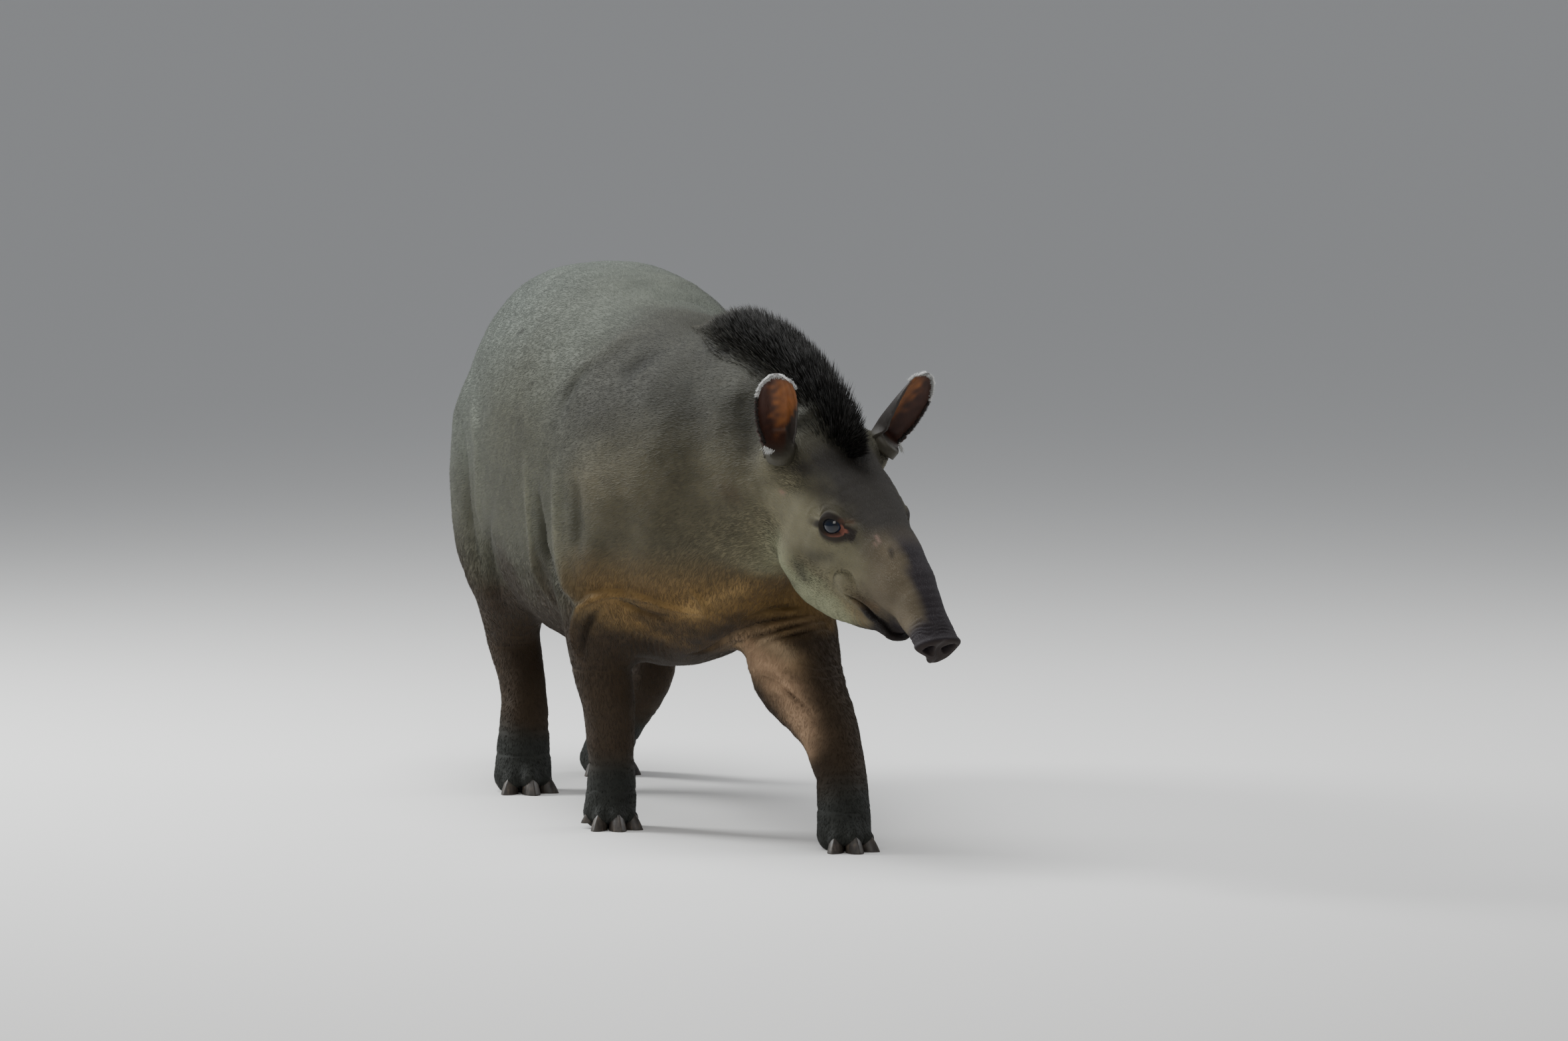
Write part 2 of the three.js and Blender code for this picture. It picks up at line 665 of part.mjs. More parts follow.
const mane = united(MANE_ROWS.flatMap((row) => Array.from({ length: row.count }, (_, i) => {
  const share = row.start + ((1 - row.start) * (i + between(-0.15, 0.15) + 0.2)) / row.count;
  return lock(clamp(share, 0.001, 0.999), row);
})));

// Neck
const neckShape = polygonise(flesh, WORLD, [340, -270, 280], [860, 310, 1060], [48, 44, 44]);
const neckFlesh = without(solid(neckShape), legSpaces);
add('neck', neckFlesh.add(mane).intersect(front(NECK_CUT)).intersect(behind(HEAD_CUT)), COAT);

// Head
const headShape = polygonise(flesh, HEAD, [-120, -156, -260], [SNOUT_REACH + 60, 156, 120], [19, 18, 18]);
const headFlesh = solid(headShape).intersect(front(HEAD_CUT));

// A round solid at a point, reaching as far as given along each of three directions.
function ball(centre, axes, reach, sides = EYE_SIDES) {
  const shape = new THREE.SphereGeometry(1, sides, Math.round(sides * 0.6));
  const [x, y, z] = axes.map((v, i) => new THREE.Vector3(...unit(v)).multiplyScalar(reach[i]));
  shape.applyMatrix4(new THREE.Matrix4().makeBasis(x, y, z).setPosition(...centre));
  return solid(shape);
}

function eye(side) {
  const centre = HEAD.at(EYE.forward, side * EYE.out, EYE.up);
  const outward = unit(HEAD.along(0.42, side * 0.89, 0.16));
  const upward = unit(cross(outward, HEAD.along(side, 0, -0.18 * side)));
  const axes = [cross(upward, outward), upward, outward];
  const globe = (r) => ball(centre, axes, [r, r, r]);
  const slit = ball(plus(centre, outward, EYE_RADIUS + 1), axes, Object.values(EYE_OPENING));
  return { globe: globe(EYE_RADIUS), socket: globe(EYE_RADIUS + GAP), slit, lids: globe(EYE_RADIUS + GAP + LID) };
}
const eyes = { right: eye(-1), left: eye(1) };

// A lip: a thin roll that follows the mouth's edge at one level, round the front of the jaw
function lip(level) {
  const middle = HEAD.at(MOUTH_START, 0, level);
  const sections = [];
  for (let turn = -96; turn <= 96; turn += 24) {
    const outward = HEAD.along(Math.cos(radians(turn)), Math.sin(radians(turn)), 0);
    const edge = plus(castOut(middle, outward), outward, -LIP * 0.45);
    sections.push(ring(edge, outward, HEAD.up, { half: LIP, up: LIP * 0.85, sides: 6 }));
  }
  return lofted(sections);
}
const lips = { upper: lip(MOUTH_LEVEL + LIP * 0.8), lower: lip(MOUTH_LEVEL - LIP * 0.8) };

const { right, left } = eyes;
const lidded = without(united([headFlesh, right.lids, left.lids]), [right.slit, left.slit, right.socket, left.socket]);
const upperHead = united([lidded, lips.upper, mane]).intersect(front(MOUTH_CUT)).intersect(front(HEAD_CUT));
add('head', upperHead.intersect(behind(SNOUT_CUT)), COAT);
add('lower_jaw', headFlesh.add(lips.lower).intersect(behind(MOUTH_CUT)), CHEEK);
add('eye_right', right.globe, EYE_GLOSS);
add('eye_left', left.globe, EYE_GLOSS);

// Snout: a slanted flat end that holds the two nostrils
const slant = radians(SNOUT_SLANT);
const snoutFace = HEAD.along(Math.cos(slant), 0, -Math.sin(slant));
const snoutEnd = beyond(HEAD.at(SNOUT_REACH, 0, -62), opposite(snoutFace), 0);
const nostrils = [1, -1].map((side) => {
  const { out, up, wide, high, deep } = NOSTRIL;
  const centre = HEAD.at(SNOUT_REACH + (up + 62) * Math.tan(slant), side * out, up);
  return ball(centre, [HEAD.left, cross(snoutFace, HEAD.left), snoutFace], [wide, high, deep], 10);
});
add('snout', without(headFlesh.intersect(front(MOUTH_CUT)).intersect(front(SNOUT_CUT)).intersect(snoutEnd), nostrils), COAT);

// Ears: a leaf-shaped cup, hollowed from the front, that leans forward and out
function ear(side) {
  const facing = new Frame([0, 0, 0], HEAD_YAW);
  const root = HEAD.at(EAR_ROOT.forward, side * EAR_ROOT.out, EAR_ROOT.up);
  const name = side > 0 ? 'left' : 'right';
  const [lean, splay] = [EAR_LEAN, EAR_SPLAY[name]].map((angle) => Math.sin(radians(angle)));
  const along = facing.along(lean, side * splay, Math.sqrt(1 - lean * lean - splay * splay));
  const turned = new Frame([0, 0, 0], HEAD_YAW + side * EAR_TURN[name]);
  const opening = unit(plus(turned.forward, along, -new THREE.Vector3(...turned.forward)
    .dot(new THREE.Vector3(...along))));
  const across = cross(opening, along);
  const profile = [[-0.24, 0.6, 32], [0.07, 0.76, 36], [0.3, 0.96, 31], [0.54, 1, 23], [0.75, 0.9, 15],
    [0.91, 0.64, 9], [1, 0.22, 5]];
  const sections = (inset) => smoothRows(profile, 1).filter(([t]) => !inset || t > 0)
    .map(([t, wide, deep]) => {
      const open = inset ? deep * 0.95 : 0;
      const reach = inset ? deep + open - EAR_WALL : deep;
      const half = (wide * EAR_WIDTH) / 2 - inset;
      const at = plus(plus(root, along, t * EAR_LENGTH - (inset && t === 1 ? inset : 0)), opening, open);
      return ring(at, across, opening, { half: Math.max(half, 3), up: reach, sides: 12 });
    });
  const cup = lofted(sections(0)).subtract(lofted(sections(EAR_WALL)));
  return without(cup, [grown(headShape, 2 * GAP), grown(neckShape, 2 * GAP)]);
}
add('ear_right', ear(-1), EAR_SKIN);
add('ear_left', ear(1), EAR_SKIN);

// The origin lies on the floor, under the middle of the animal.
const middle = new THREE.Box3().setFromObject(tapir).getCenter(new THREE.Vector3());
tapir.position.set(-middle.x, -middle.y, 0);

export default tapir;
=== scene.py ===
"""A life-size lowland tapir: one skin, its eyes, ears, hooves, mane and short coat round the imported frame."""
import math

import bmesh
import bpy
import numpy as np
from mathutils import Matrix, Vector
from mathutils.bvhtree import BVHTree


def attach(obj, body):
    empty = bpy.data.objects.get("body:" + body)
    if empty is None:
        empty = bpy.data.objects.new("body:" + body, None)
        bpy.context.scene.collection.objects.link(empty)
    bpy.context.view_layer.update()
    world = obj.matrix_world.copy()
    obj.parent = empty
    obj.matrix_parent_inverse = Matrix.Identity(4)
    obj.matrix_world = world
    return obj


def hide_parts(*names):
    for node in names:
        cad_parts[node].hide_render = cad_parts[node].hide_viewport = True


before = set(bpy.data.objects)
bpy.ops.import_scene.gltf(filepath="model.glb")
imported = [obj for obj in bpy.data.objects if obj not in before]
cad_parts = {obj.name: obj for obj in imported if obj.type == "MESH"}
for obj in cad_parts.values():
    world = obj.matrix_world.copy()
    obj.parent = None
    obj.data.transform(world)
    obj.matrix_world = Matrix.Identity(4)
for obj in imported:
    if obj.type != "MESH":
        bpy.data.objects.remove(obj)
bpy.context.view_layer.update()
ROOT = "root"

# Sizes in mm, in the frame of the drawing, whose origin lies ORIGIN from the frame's own
ORIGIN = np.array([199.7, 43.8, 0.0])
POLL = np.array([780.0, 140.0, 712.0])
HEAD_YAW, HEAD_PITCH = math.radians(17), math.radians(40)
SNOUT_REACH, SNOUT_SLANT = 452, math.radians(18)
EYE_RADIUS = 24
EYE_IN_HEAD = (160, 66, -3)
MOUTH_LEVEL = -88
COAT_DEPTH = 2.2
FLOOR_GAP = 0.6


def to_mm(points):
    return np.asarray(points, float) * 1000 + ORIGIN


def to_m(points):
    return (np.asarray(points, float) - ORIGIN) / 1000


def unit(v):
    v = np.asarray(v, float)
    return v / np.maximum(np.linalg.norm(v, axis=-1, keepdims=True), 1e-9)


def ease(low, high, x):
    """0 below low, 1 above high, smooth between; low may be the larger."""
    t = np.clip((np.asarray(x, float) - low) / (high - low), 0, 1)
    return t * t * (3 - 2 * t)


class Axes:
    """Forward, left and up from an origin."""

    def __init__(self, origin, yaw=0.0, pitch=0.0):
        cy, sy, cp, sp = math.cos(yaw), math.sin(yaw), math.cos(pitch), math.sin(pitch)
        self.origin = np.asarray(origin, float)
        self.forward = np.array([cp * cy, cp * sy, -sp])
        self.left = np.array([-sy, cy, 0.0])
        self.up = np.array([sp * cy, sp * sy, cp])

    def along(self, f, s, u):
        return self.forward * f + self.left * s + self.up * u

    def at(self, f, s, u):
        return self.origin + self.along(f, s, u)

    def local(self, points):
        q = points - self.origin
        return q @ self.forward, q @ self.left, q @ self.up


HEAD = Axes(POLL, HEAD_YAW, HEAD_PITCH)


# The flesh as fields: negative inside
def smooth_rows(rows, steps=5):
    """A smooth curve through rows of numbers, with steps rows from each to the next."""
    rows = np.asarray(rows, float)
    made = []
    for i in range(len(rows) - 1):
        a, b, c, d = (rows[min(max(i + k, 0), len(rows) - 1)] for k in (-1, 0, 1, 2))
        for n in range(steps):
            t = n / steps
            made.append(b + 0.5 * t * (c - a + t * (2 * a - 5 * b + 4 * c - d + t * (3 * b - a - 3 * c + d))))
    made.append(rows[-1])
    return np.array(made)


class Loft:
    """Oval sections [x, y, z, half width, reach up or forward, reach down or back] run into one form."""

    FAR = 140  # further off, the distance to the box round the sections is near enough

    def __init__(self, stations, side=(0, 1, 0), power=2.0, top_power=None, steps=4):
        self.rings = smooth_rows(stations, steps)
        self.power, self.top_power = power, top_power or power
        self.step = np.diff(self.rings[:, :3], axis=0)
        self.length2 = (self.step**2).sum(1)
        self.t = unit(self.step)
        across = np.asarray(side, float)
        self.s = unit(across - self.t * (self.t @ across)[:, None])
        self.n = np.cross(self.t, self.s)
        reach = self.rings[:, 3:].max(1)[:, None]
        self.low = (self.rings[:, :3] - reach).min(0)
        self.high = (self.rings[:, :3] + reach).max(0)

    def __call__(self, points):
        value = np.linalg.norm(np.maximum(0, np.maximum(self.low - points, points - self.high)), axis=1)
        near = value < self.FAR
        p = points[near]
        best = np.full(len(p), np.inf)
        for i in range(len(self.step)):
            a, b = self.rings[i], self.rings[i + 1]
            q = p - a[:3]
            share = np.clip(q @ self.step[i] / self.length2[i], 0, 1)
            q = q - share[:, None] * self.step[i]
            half, up, down = (a[j] + (b[j] - a[j]) * share for j in (3, 4, 5))
            rise = q @ self.n[i]
            above = rise > 0
            wide = np.abs(q @ self.s[i]) / half
            tall = np.abs(rise) / np.where(above, up, down)
            least = np.minimum(half, np.minimum(up, down))
            past = (q @ self.t[i]) / least
            bend = np.where(above, self.top_power, self.power)
            oval = (wide**bend + tall**bend) ** (1 / bend)
            scale = np.hypot(oval, past)
            here = np.where(scale > 1e-3, np.linalg.norm(q, axis=1) * (1 - 1 / np.maximum(scale, 1e-3)), -least)
            best = np.minimum(best, here)
        value[near] = best
        return value


class Lump:
    """A ball of flesh."""

    def __init__(self, centre, radius):
        self.centre, self.radius = np.asarray(centre, float), radius

    def __call__(self, points):
        return np.linalg.norm(points - self.centre, axis=1) - self.radius


def fillet(a, b, size):
    """The lesser of two fields, rounded over size mm where they meet."""
    h = np.maximum(size - np.abs(a - b), 0) / size
    return np.minimum(a, b) - h * h * size * 0.25


class Joined:
    """Fields joined one after the other, each with the size of its fillet."""

    def __init__(self, parts):
        self.parts = parts

    def __call__(self, points):
        value = np.full(len(points), 1e6)
        for field, size in self.parts:
            value = fillet(value, field(points), size)
        return value


def trunk_row(x, y, top, bottom, half):
    reach = (top - bottom) / 2
    return [x, y, bottom + reach, half, reach, reach]


def head_rows(rows):
    return [[*HEAD.at(f, 0, u), half, up, down] for f, u, half, up, down in rows]


TRUNK = Loft([
    trunk_row(-620, 10, 830, 620, 70),
    trunk_row(-575, 14, 905, 480, 132),
    trunk_row(-470, 18, 981, 416, 198),
    trunk_row(-330, 20, 1021, 356, 240),
    trunk_row(-150, 16, 1033, 304, 268),
    trunk_row(50, 6, 1013, 290, 270),
    trunk_row(220, 0, 959, 298, 256),
    trunk_row(350, 0, 945, 308, 222),
    trunk_row(460, 0, 905, 385, 175),
], power=2.35, top_power=2.02)
NECK = Loft([
    [300, 0, 640, 210, 305, 320],
    [430, 6, 645, 185, 278, 290],
    [540, 42, 655, 155, 280, 225],
    [640, 86, 675, 132, 252, 160],
    [720, 120, 690, 112, 168, 135],
    [*HEAD.at(0, 0, -50), 90, 95, 100],
])
SKULL = Loft(head_rows([
    [-60, -50, 80, 75, 90],
    [0, -40, 94, 94, 110],
    [90, -40, 102, 102, 110],
    [160, -35, 88, 94, 95],
    [220, -25, 70, 86, 78],
    [280, -18, 54, 78, 58],
    [330, -13, 46, 62, 44],
]), side=HEAD.left, power=2.3)
PROBOSCIS = Loft(head_rows([
    [250, -20, 58, 80, 66],
    [300, -15, 50, 72, 52],
    [350, -12, 44, 58, 45],
    [400, -18, 42, 46, 42],
    [448, -24, 46, 36, 44],
    [498, -27, 47, 33, 44],
]), side=HEAD.left, power=1.75, top_power=2.5)
JAW = Loft(head_rows([
    [40, -130, 74, 60, 66],
    [130, -140, 76, 60, 72],
    [200, -125, 57, 50, 68],
    [260, -108, 42, 40, 48],
    [315, -97, 34, 28, 23],
    [360, -88, 25, 15, 13],
]), side=HEAD.left)
UPPER_LIP = Loft(head_rows([
    [225, -66, 38, 22, 18],
    [280, -64, 34, 20, 18],
    [325, -62, 26, 16, 15],
    [362, -58, 15, 11, 10],
]), side=HEAD.left)
LIMB_STATIONS = {
    "fore_right": [
        [400, -150, 640, 80, 120, 110],
        [365, -165, 500, 78, 105, 100],
        [342, -165, 410, 66, 80, 78],
        [335, -155, 310, 55, 58, 62],
        [342, -140, 215, 50, 52, 46],
        [336, -135, 130, 43, 44, 42],
        [336, -135, 70, 47, 50, 44],
        [340, -139, 28, 50, 46, 40],
    ],
    "fore_left": [
        [430, 150, 640, 80, 120, 110],
        [430, 165, 500, 78, 100, 100],
        [480, 166, 400, 86, 80, 90],
        [560, 157, 300, 87, 60, 74],
        [640, 188, 205, 58, 54, 50],
        [710, 191, 125, 48, 43, 42],
        [760, 180, 66, 49, 48, 44],
        [780, 173, 28, 50, 46, 40],
    ],
    "hind_right": [
        [-400, -130, 700, 92, 170, 150],
        [-355, -155, 540, 88, 130, 135],
        [-285, -158, 430, 76, 85, 100],
        [-310, -144, 355, 61, 60, 70],
        [-345, -126, 285, 53, 52, 54],
        [-300, -120, 190, 45, 44, 42],
        [-262, -131, 90, 52, 46, 44],
        [-245, -138, 28, 57, 48, 42],
    ],
    "hind_left": [
        [-430, 140, 700, 92, 170, 150],
        [-365, 165, 540, 86, 130, 135],
        [-300, 172, 430, 70, 85, 100],
        [-315, 170, 355, 54, 60, 68],
        [-350, 166, 285, 45, 52, 52],
        [-352, 152, 195, 42, 43, 41],
        [-458, 114, 88, 46, 45, 43],
        [-482, 100, 28, 52, 48, 42],
    ],
}
LIMBS = {name: Loft(rows, power=2.1) for name, rows in LIMB_STATIONS.items()}
# Toes: degrees outwards from the foot's middle, size
FORE_TOES = [(-36, 1), (2, 1.1), (40, 1), (84, 0.72)]
HIND_TOES = [(-45, 1.05), (0, 1.18), (45, 1.05)]


def toe_fields():
    """Each toe runs from inside the foot over a knuckle to its hoof."""
    made = []
    for name, rows in LIMB_STATIONS.items():
        side = -1 if name.endswith("right") else 1
        foot = np.array([rows[-1][0], rows[-1][1], 56.0])
        for turn, size in FORE_TOES if name.startswith("fore") else HIND_TOES:
            angle = math.radians(turn * side)
            along = np.array([math.cos(angle), math.sin(angle), 0])
            lift, reach = (10, 44) if size < 0.9 else (0, 42 + 14 * size)
            centre = np.array([rows[-1][0] + along[0] * reach, rows[-1][1] + along[1] * reach * 0.9, lift])
            inner = foot + along * 6
            knuckle = centre + [0, 0, 30 * size] - along * 22 * size
            tip = centre + [0, 0, 21 * size] - along * 4
            made.append(Loft([
                [*inner, 21, 22, 20],
                [*knuckle, 20.5 * size, 22 * size, 20 * size],
                [*tip, 17 * size, 16 * size, 14 * size],
            ], side=np.cross([0, 0, 1], along), steps=3))
    return made


# The tail: a short oval stub
TAIL_ROOT = np.array([-655.0, 10.0, 800.0])
TAIL_ALONG = unit([-0.5, 0, -0.86])
TAIL_ROWS = [[*(TAIL_ROOT + TAIL_ALONG * t), half, up, up] for t, half, up in (
    (-30, 27, 24), (10, 25, 20), (35, 21, 16), (60, 16, 12), (79, 9, 6))]

# The ears; their curve gives the share of the length, the share of the width and the depth
EAR_LENGTH, EAR_WIDTH, EAR_WALL = 146, 92, 5
EAR_LEAN = math.radians(17)
EAR_SPLAY = {1: math.radians(27), -1: math.radians(15)}
EAR_TURN = {1: math.radians(10), -1: math.radians(36)}
EAR_CURVE = smooth_rows([
    [-0.24, 0.6, 32], [0.07, 0.76, 36], [0.3, 0.96, 31], [0.54, 1, 23],
    [0.75, 0.9, 15], [0.91, 0.64, 9], [1, 0.22, 5],
], 8)


def ear_axes(side):
    """An ear's root, the way it grows, the way it opens, and across its opening."""
    facing = Axes((0, 0, 0), HEAD_YAW)
    lean, splay = math.sin(EAR_LEAN), math.sin(EAR_SPLAY[side])
    along = facing.along(lean, side * splay, math.sqrt(1 - lean * lean - splay * splay))
    forward = Axes((0, 0, 0), HEAD_YAW + side * EAR_TURN[side]).forward
    opening = unit(forward - along * (forward @ along))
    return HEAD.at(-4, side * 118, 38), along, opening, np.cross(opening, along)


def ear_size(t):
    """Half the width and the depth of an ear at a share of its length."""
    return (np.interp(t, EAR_CURVE[:, 0], EAR_CURVE[:, 1]) * EAR_WIDTH / 2,
            np.interp(t, EAR_CURVE[:, 0], EAR_CURVE[:, 2]))


FLESH = Joined([
    (TRUNK, 1),
    (NECK, 60),
    (SKULL, 40),
    (PROBOSCIS, 12),
    (JAW, 34),
    (UPPER_LIP, 8),
    *[(Lump(HEAD.at(f, side * s, u), radius), size) for f, s, u, radius, size in (
        (110, 58, -118, 46, 26), (156, 64, 1, 27, 20), (-8, 96, 4, 38, 34)) for side in (1, -1)],
    *[(limb, 50 if name.startswith("fore") else 60) for name, limb in LIMBS.items()],
    (Loft(TAIL_ROWS, steps=3), 14),
    *[(toe, 9) for toe in toe_fields()],
])


def flesh(points):
    """The field, cut off flat at the snout's end and at the floor."""
    value = FLESH(points)
    f, _, u = HEAD.local(points)
    end = (f - SNOUT_REACH) * math.cos(SNOUT_SLANT) - (u + 62) * math.sin(SNOUT_SLANT)
    value = -fillet(-value, -np.where(points[:, 2] > 300, end, -1000), 5)
    return np.maximum(value, FLOOR_GAP - points[:, 2])


def snout_end():
    """A point of the snout's flat end, and the way it faces."""
    return HEAD.at(SNOUT_REACH, 0, -62), HEAD.along(math.cos(SNOUT_SLANT), 0, -math.sin(SNOUT_SLANT))


def on_head(points, back, front):
    """1 on the head and 0 behind it, rising between back and front, mm forward of the poll."""
    f, _, u = HEAD.local(points)
    return ease(back, front, f) * ease(-270, -230, u) * (points[:, 2] > 340)


# Meshes
def new_object(name, bm=None, mesh=None):
    """An object in the scene, of a mesh or of a bmesh, which it uses up."""
    if mesh is None:
        mesh = bpy.data.meshes.new(name)
        bm.to_mesh(mesh)
        bm.free()
    obj = bpy.data.objects.new(name, mesh)
    bpy.context.scene.collection.objects.link(obj)
    return obj


def read(items, what, width=1, kind=np.int32):
    """One property of all of a mesh's vertices, edges, faces or corners."""
    out = np.empty(len(items) * width, kind)
    items.foreach_get(what, out)
    return out.reshape(-1, width) if width > 1 else out


def places(mesh):
    return read(mesh.vertices, "co", 3, np.float32).astype(float)


def normals(mesh):
    return read(mesh.vertex_normals, "vector", 3, np.float32).astype(float)


def put(mesh, points):
    mesh.vertices.foreach_set("co", np.asarray(points, np.float32).ravel())
    mesh.update()


def smooth(obj):
    obj.data.polygons.foreach_set("use_smooth", np.ones(len(obj.data.polygons), bool))


def relaxed(points, edges, share):
    """Each point moved a share of the way to the middle of its neighbours."""
    count = len(points)
    ends = np.concatenate([edges, edges[:, ::-1]])
    degree = np.maximum(np.bincount(ends[:, 0], minlength=count), 1)[:, None]
    mean = np.stack([np.bincount(ends[:, 0], points[ends[:, 1], j], count) for j in range(3)], 1) / degree
    return points + (mean - points) * share


def extruded(bm, sections):
    """A closed form through sections, each a list of points in the same order."""
    ring = list(bmesh.ops.create_circle(bm, cap_ends=True, segments=len(sections[0]), radius=1)["verts"])
    face = first = ring[0].link_faces[0]
    for v, p in zip(ring, sections[0]):
        v.co = Vector(p)
    for points in sections[1:]:
        made = bmesh.ops.extrude_face_region(bm, geom=[face], use_keep_orig=True)["geom"]
        top = next(g for g in made if isinstance(g, bmesh.types.BMFace))
        corners = set(top.verts)
        ring = [next(e.other_vert(v) for e in v.link_edges if e.other_vert(v) in corners) for v in ring]
        for v, p in zip(ring, points):
            v.co = Vector(p)
        if face is not first:
            bm.faces.remove(face)
        face = top


def loft_sections(loft, segments=26):
    """The oval outline of each of a loft's rings."""
    made = []
    for i, ring in enumerate(loft.rings):
        j = min(i, len(loft.step) - 1)
        s, n = (loft.s[j], loft.n[j]) if i in (0, len(loft.step)) else (
            unit(loft.s[j - 1] + loft.s[j]), unit(loft.n[j - 1] + loft.n[j]))
        points = []
        for k in range(segments):
            a = 2 * math.pi * k / segments
            c, w = math.cos(a), math.sin(a)
            points.append(ring[:3] + s * ring[3] * c + n * w * (ring[4] if w > 0 else ring[5]))
        made.append([to_m(p) for p in points])
    return made


def base_form():
    """Every loft as a closed form, in one object."""
    bm = bmesh.new()
    for field, _ in FLESH.parts:
        if isinstance(field, Loft):
            piece = bmesh.new()
            extruded(piece, loft_sections(field))
            if field is PROBOSCIS:
                at, facing = snout_end()
                cut = bmesh.ops.bisect_plane(
                    piece, geom=piece.verts[:] + piece.edges[:] + piece.faces[:], plane_co=to_m(at),
                    plane_no=facing, clear_outer=True)["geom_cut"]
                bmesh.ops.edgenet_fill(piece, edges=[g for g in cut if isinstance(g, bmesh.types.BMEdge)])
            bmesh.ops.recalc_face_normals(piece, faces=piece.faces[:])
            mesh = bpy.data.meshes.new("piece")
            piece.to_mesh(mesh)
            piece.free()
            bm.from_mesh(mesh)
            bpy.data.meshes.remove(mesh)
        else:
            bmesh.ops.create_icosphere(
                bm, subdivisions=3, radius=field.radius / 1000, matrix=Matrix.Translation(to_m(field.centre)))
    return new_object("base_form", bm)


def remeshed(obj, size):
    """The object's mesh made new from small cubes of the given size, m."""
    change = obj.modifiers.new("cells", "REMESH")
    change.mode = "VOXEL"
    change.voxel_size = size
    change.adaptivity = 0
    old = obj.data
    obj.data = bpy.data.meshes.new_from_object(obj.evaluated_get(bpy.context.evaluated_depsgraph_get()))
    obj.modifiers.clear()
    bpy.data.meshes.remove(old)


def coat_depth(points):
    """How deep the skin lies under the tips of the coat, mm: least on the face and feet."""
    f, _, _ = HEAD.local(points)
    face = ease(-40, 120, f) * ease(480, 560, points[:, 0])
    feet = ease(260, 120, points[:, 2])
    return COAT_DEPTH * (1 - 0.7 * np.maximum(face, feet))


MOST_MOVE = 14.0


def settle(mesh, rounds, relax, depth=coat_depth, only=None):
    """Vertices move along their normals until they lie depth mm inside the flesh, and even out between moves."""
    edges = read(mesh.edges, "vertices", 2)
    who = slice(None) if only is None else np.flatnonzero(only)
    share = relax if only is None else relax * only.astype(float)[:, None]
    for turn in range(rounds):
        p, n = places(mesh), normals(mesh)
        at = to_mm(p[who])
        p[who] -= n[who] * (np.clip(flesh(at) + depth(at), -MOST_MOVE, MOST_MOVE) / 1000)[:, None]
        put(mesh, p if turn == rounds - 1 else relaxed(p, edges, share))


COARSE_CELL, FINE_CELL = 0.012, 0.0088


def skin_form():
    """The whole animal as one closed skin."""
    obj = base_form()
    obj.name = "skin"
    remeshed(obj, COARSE_CELL)
    settle(obj.data, 5, 0.4, depth=lambda at: 0)
    remeshed(obj, FINE_CELL)
    settle(obj.data, 4, 0.4)
    return obj


def subdivided(mesh, chosen):
    """Faces whose vertices are all chosen are split once."""
    bm = bmesh.new()
    bm.from_mesh(mesh)
    bm.verts.ensure_lookup_table()
    faces = [f for f in bm.faces if all(chosen[v.index] for v in f.verts)]
    edges = list({e for f in faces for e in f.edges})
    bmesh.ops.subdivide_edges(bm, edges=edges, cuts=1, use_grid_fill=True)
    bmesh.ops.triangulate(bm, faces=[f for f in bm.faces if len(f.verts) > 4])
    bm.to_mesh(mesh)
    bm.free()


EYE_AT = {s: HEAD.at(EYE_IN_HEAD[0], s * EYE_IN_HEAD[1], EYE_IN_HEAD[2]) for s in (1, -1)}


def distance_to(points, spots):
    """How far each point is from the nearest of the spots."""
    return np.min([np.linalg.norm(points - np.asarray(s), axis=1) for s in spots], axis=0)


def eye_axes(side):
    """Towards the nose, up and out of the eye."""
    outward = unit(HEAD.along(0.42, side * 0.89, 0.16))
    nose = HEAD.along(1, 0, 0.5)
    nose = unit(nose - outward * (nose @ outward))
    upward = np.cross(outward, nose) * -side
    return nose, upward, outward


# The camera, and where a pixel of its picture falls on the skin
PICTURE_WIDE, PICTURE_HIGH = 2361, 1568
MIDDLE_X, MIDDLE_Y = PICTURE_WIDE / 2, PICTURE_HIGH / 2
CAMERA_TURN, CAMERA_RISE, CAMERA_FAR = math.radians(72), math.radians(5), 15.0
LENS, FILM_WIDE = 185, 36
FOCAL = PICTURE_WIDE * LENS / FILM_WIDE
BACKWARD = np.array([math.sin(CAMERA_TURN) * math.cos(CAMERA_RISE),
                     -math.cos(CAMERA_TURN) * math.cos(CAMERA_RISE), math.sin(CAMERA_RISE)])
RIGHTWARD = np.array([math.cos(CAMERA_TURN), math.sin(CAMERA_TURN), 0])
UPWARD = np.cross(BACKWARD, RIGHTWARD)
# The middle of the right forefoot stands at this pixel
FOOT_AT, FOOT_X, FOOT_Y = to_m([335, -135, 0]), 920, 1245
TARGET = (FOOT_AT - RIGHTWARD * (FOOT_X - MIDDLE_X) / FOCAL * CAMERA_FAR
          - UPWARD * (MIDDLE_Y - FOOT_Y) / FOCAL * CAMERA_FAR)
CAMERA_AT = TARGET + BACKWARD * CAMERA_FAR


def make_camera():
    camera = bpy.data.objects.new("camera", bpy.data.cameras.new("camera"))
    bpy.context.scene.collection.objects.link(camera)
    bpy.context.scene.camera = camera
    camera.data.lens = LENS
    camera.data.sensor_width = FILM_WIDE
    camera.data.sensor_fit = "HORIZONTAL"
    camera.data.clip_end = 400
    camera.location = Vector(CAMERA_AT)
    camera.rotation_mode = "QUATERNION"
    camera.rotation_quaternion = Vector(-BACKWARD).to_track_quat("-Z", "Y")


def tree_of(mesh):
    bm = bmesh.new()
    bm.from_mesh(mesh)
    tree = BVHTree.FromBMesh(bm)
    bm.free()
    return tree


def nearest(tree, point):
    """The place on the skin nearest to a point, mm."""
    return to_mm(tree.find_nearest(Vector(to_m(point)))[0])


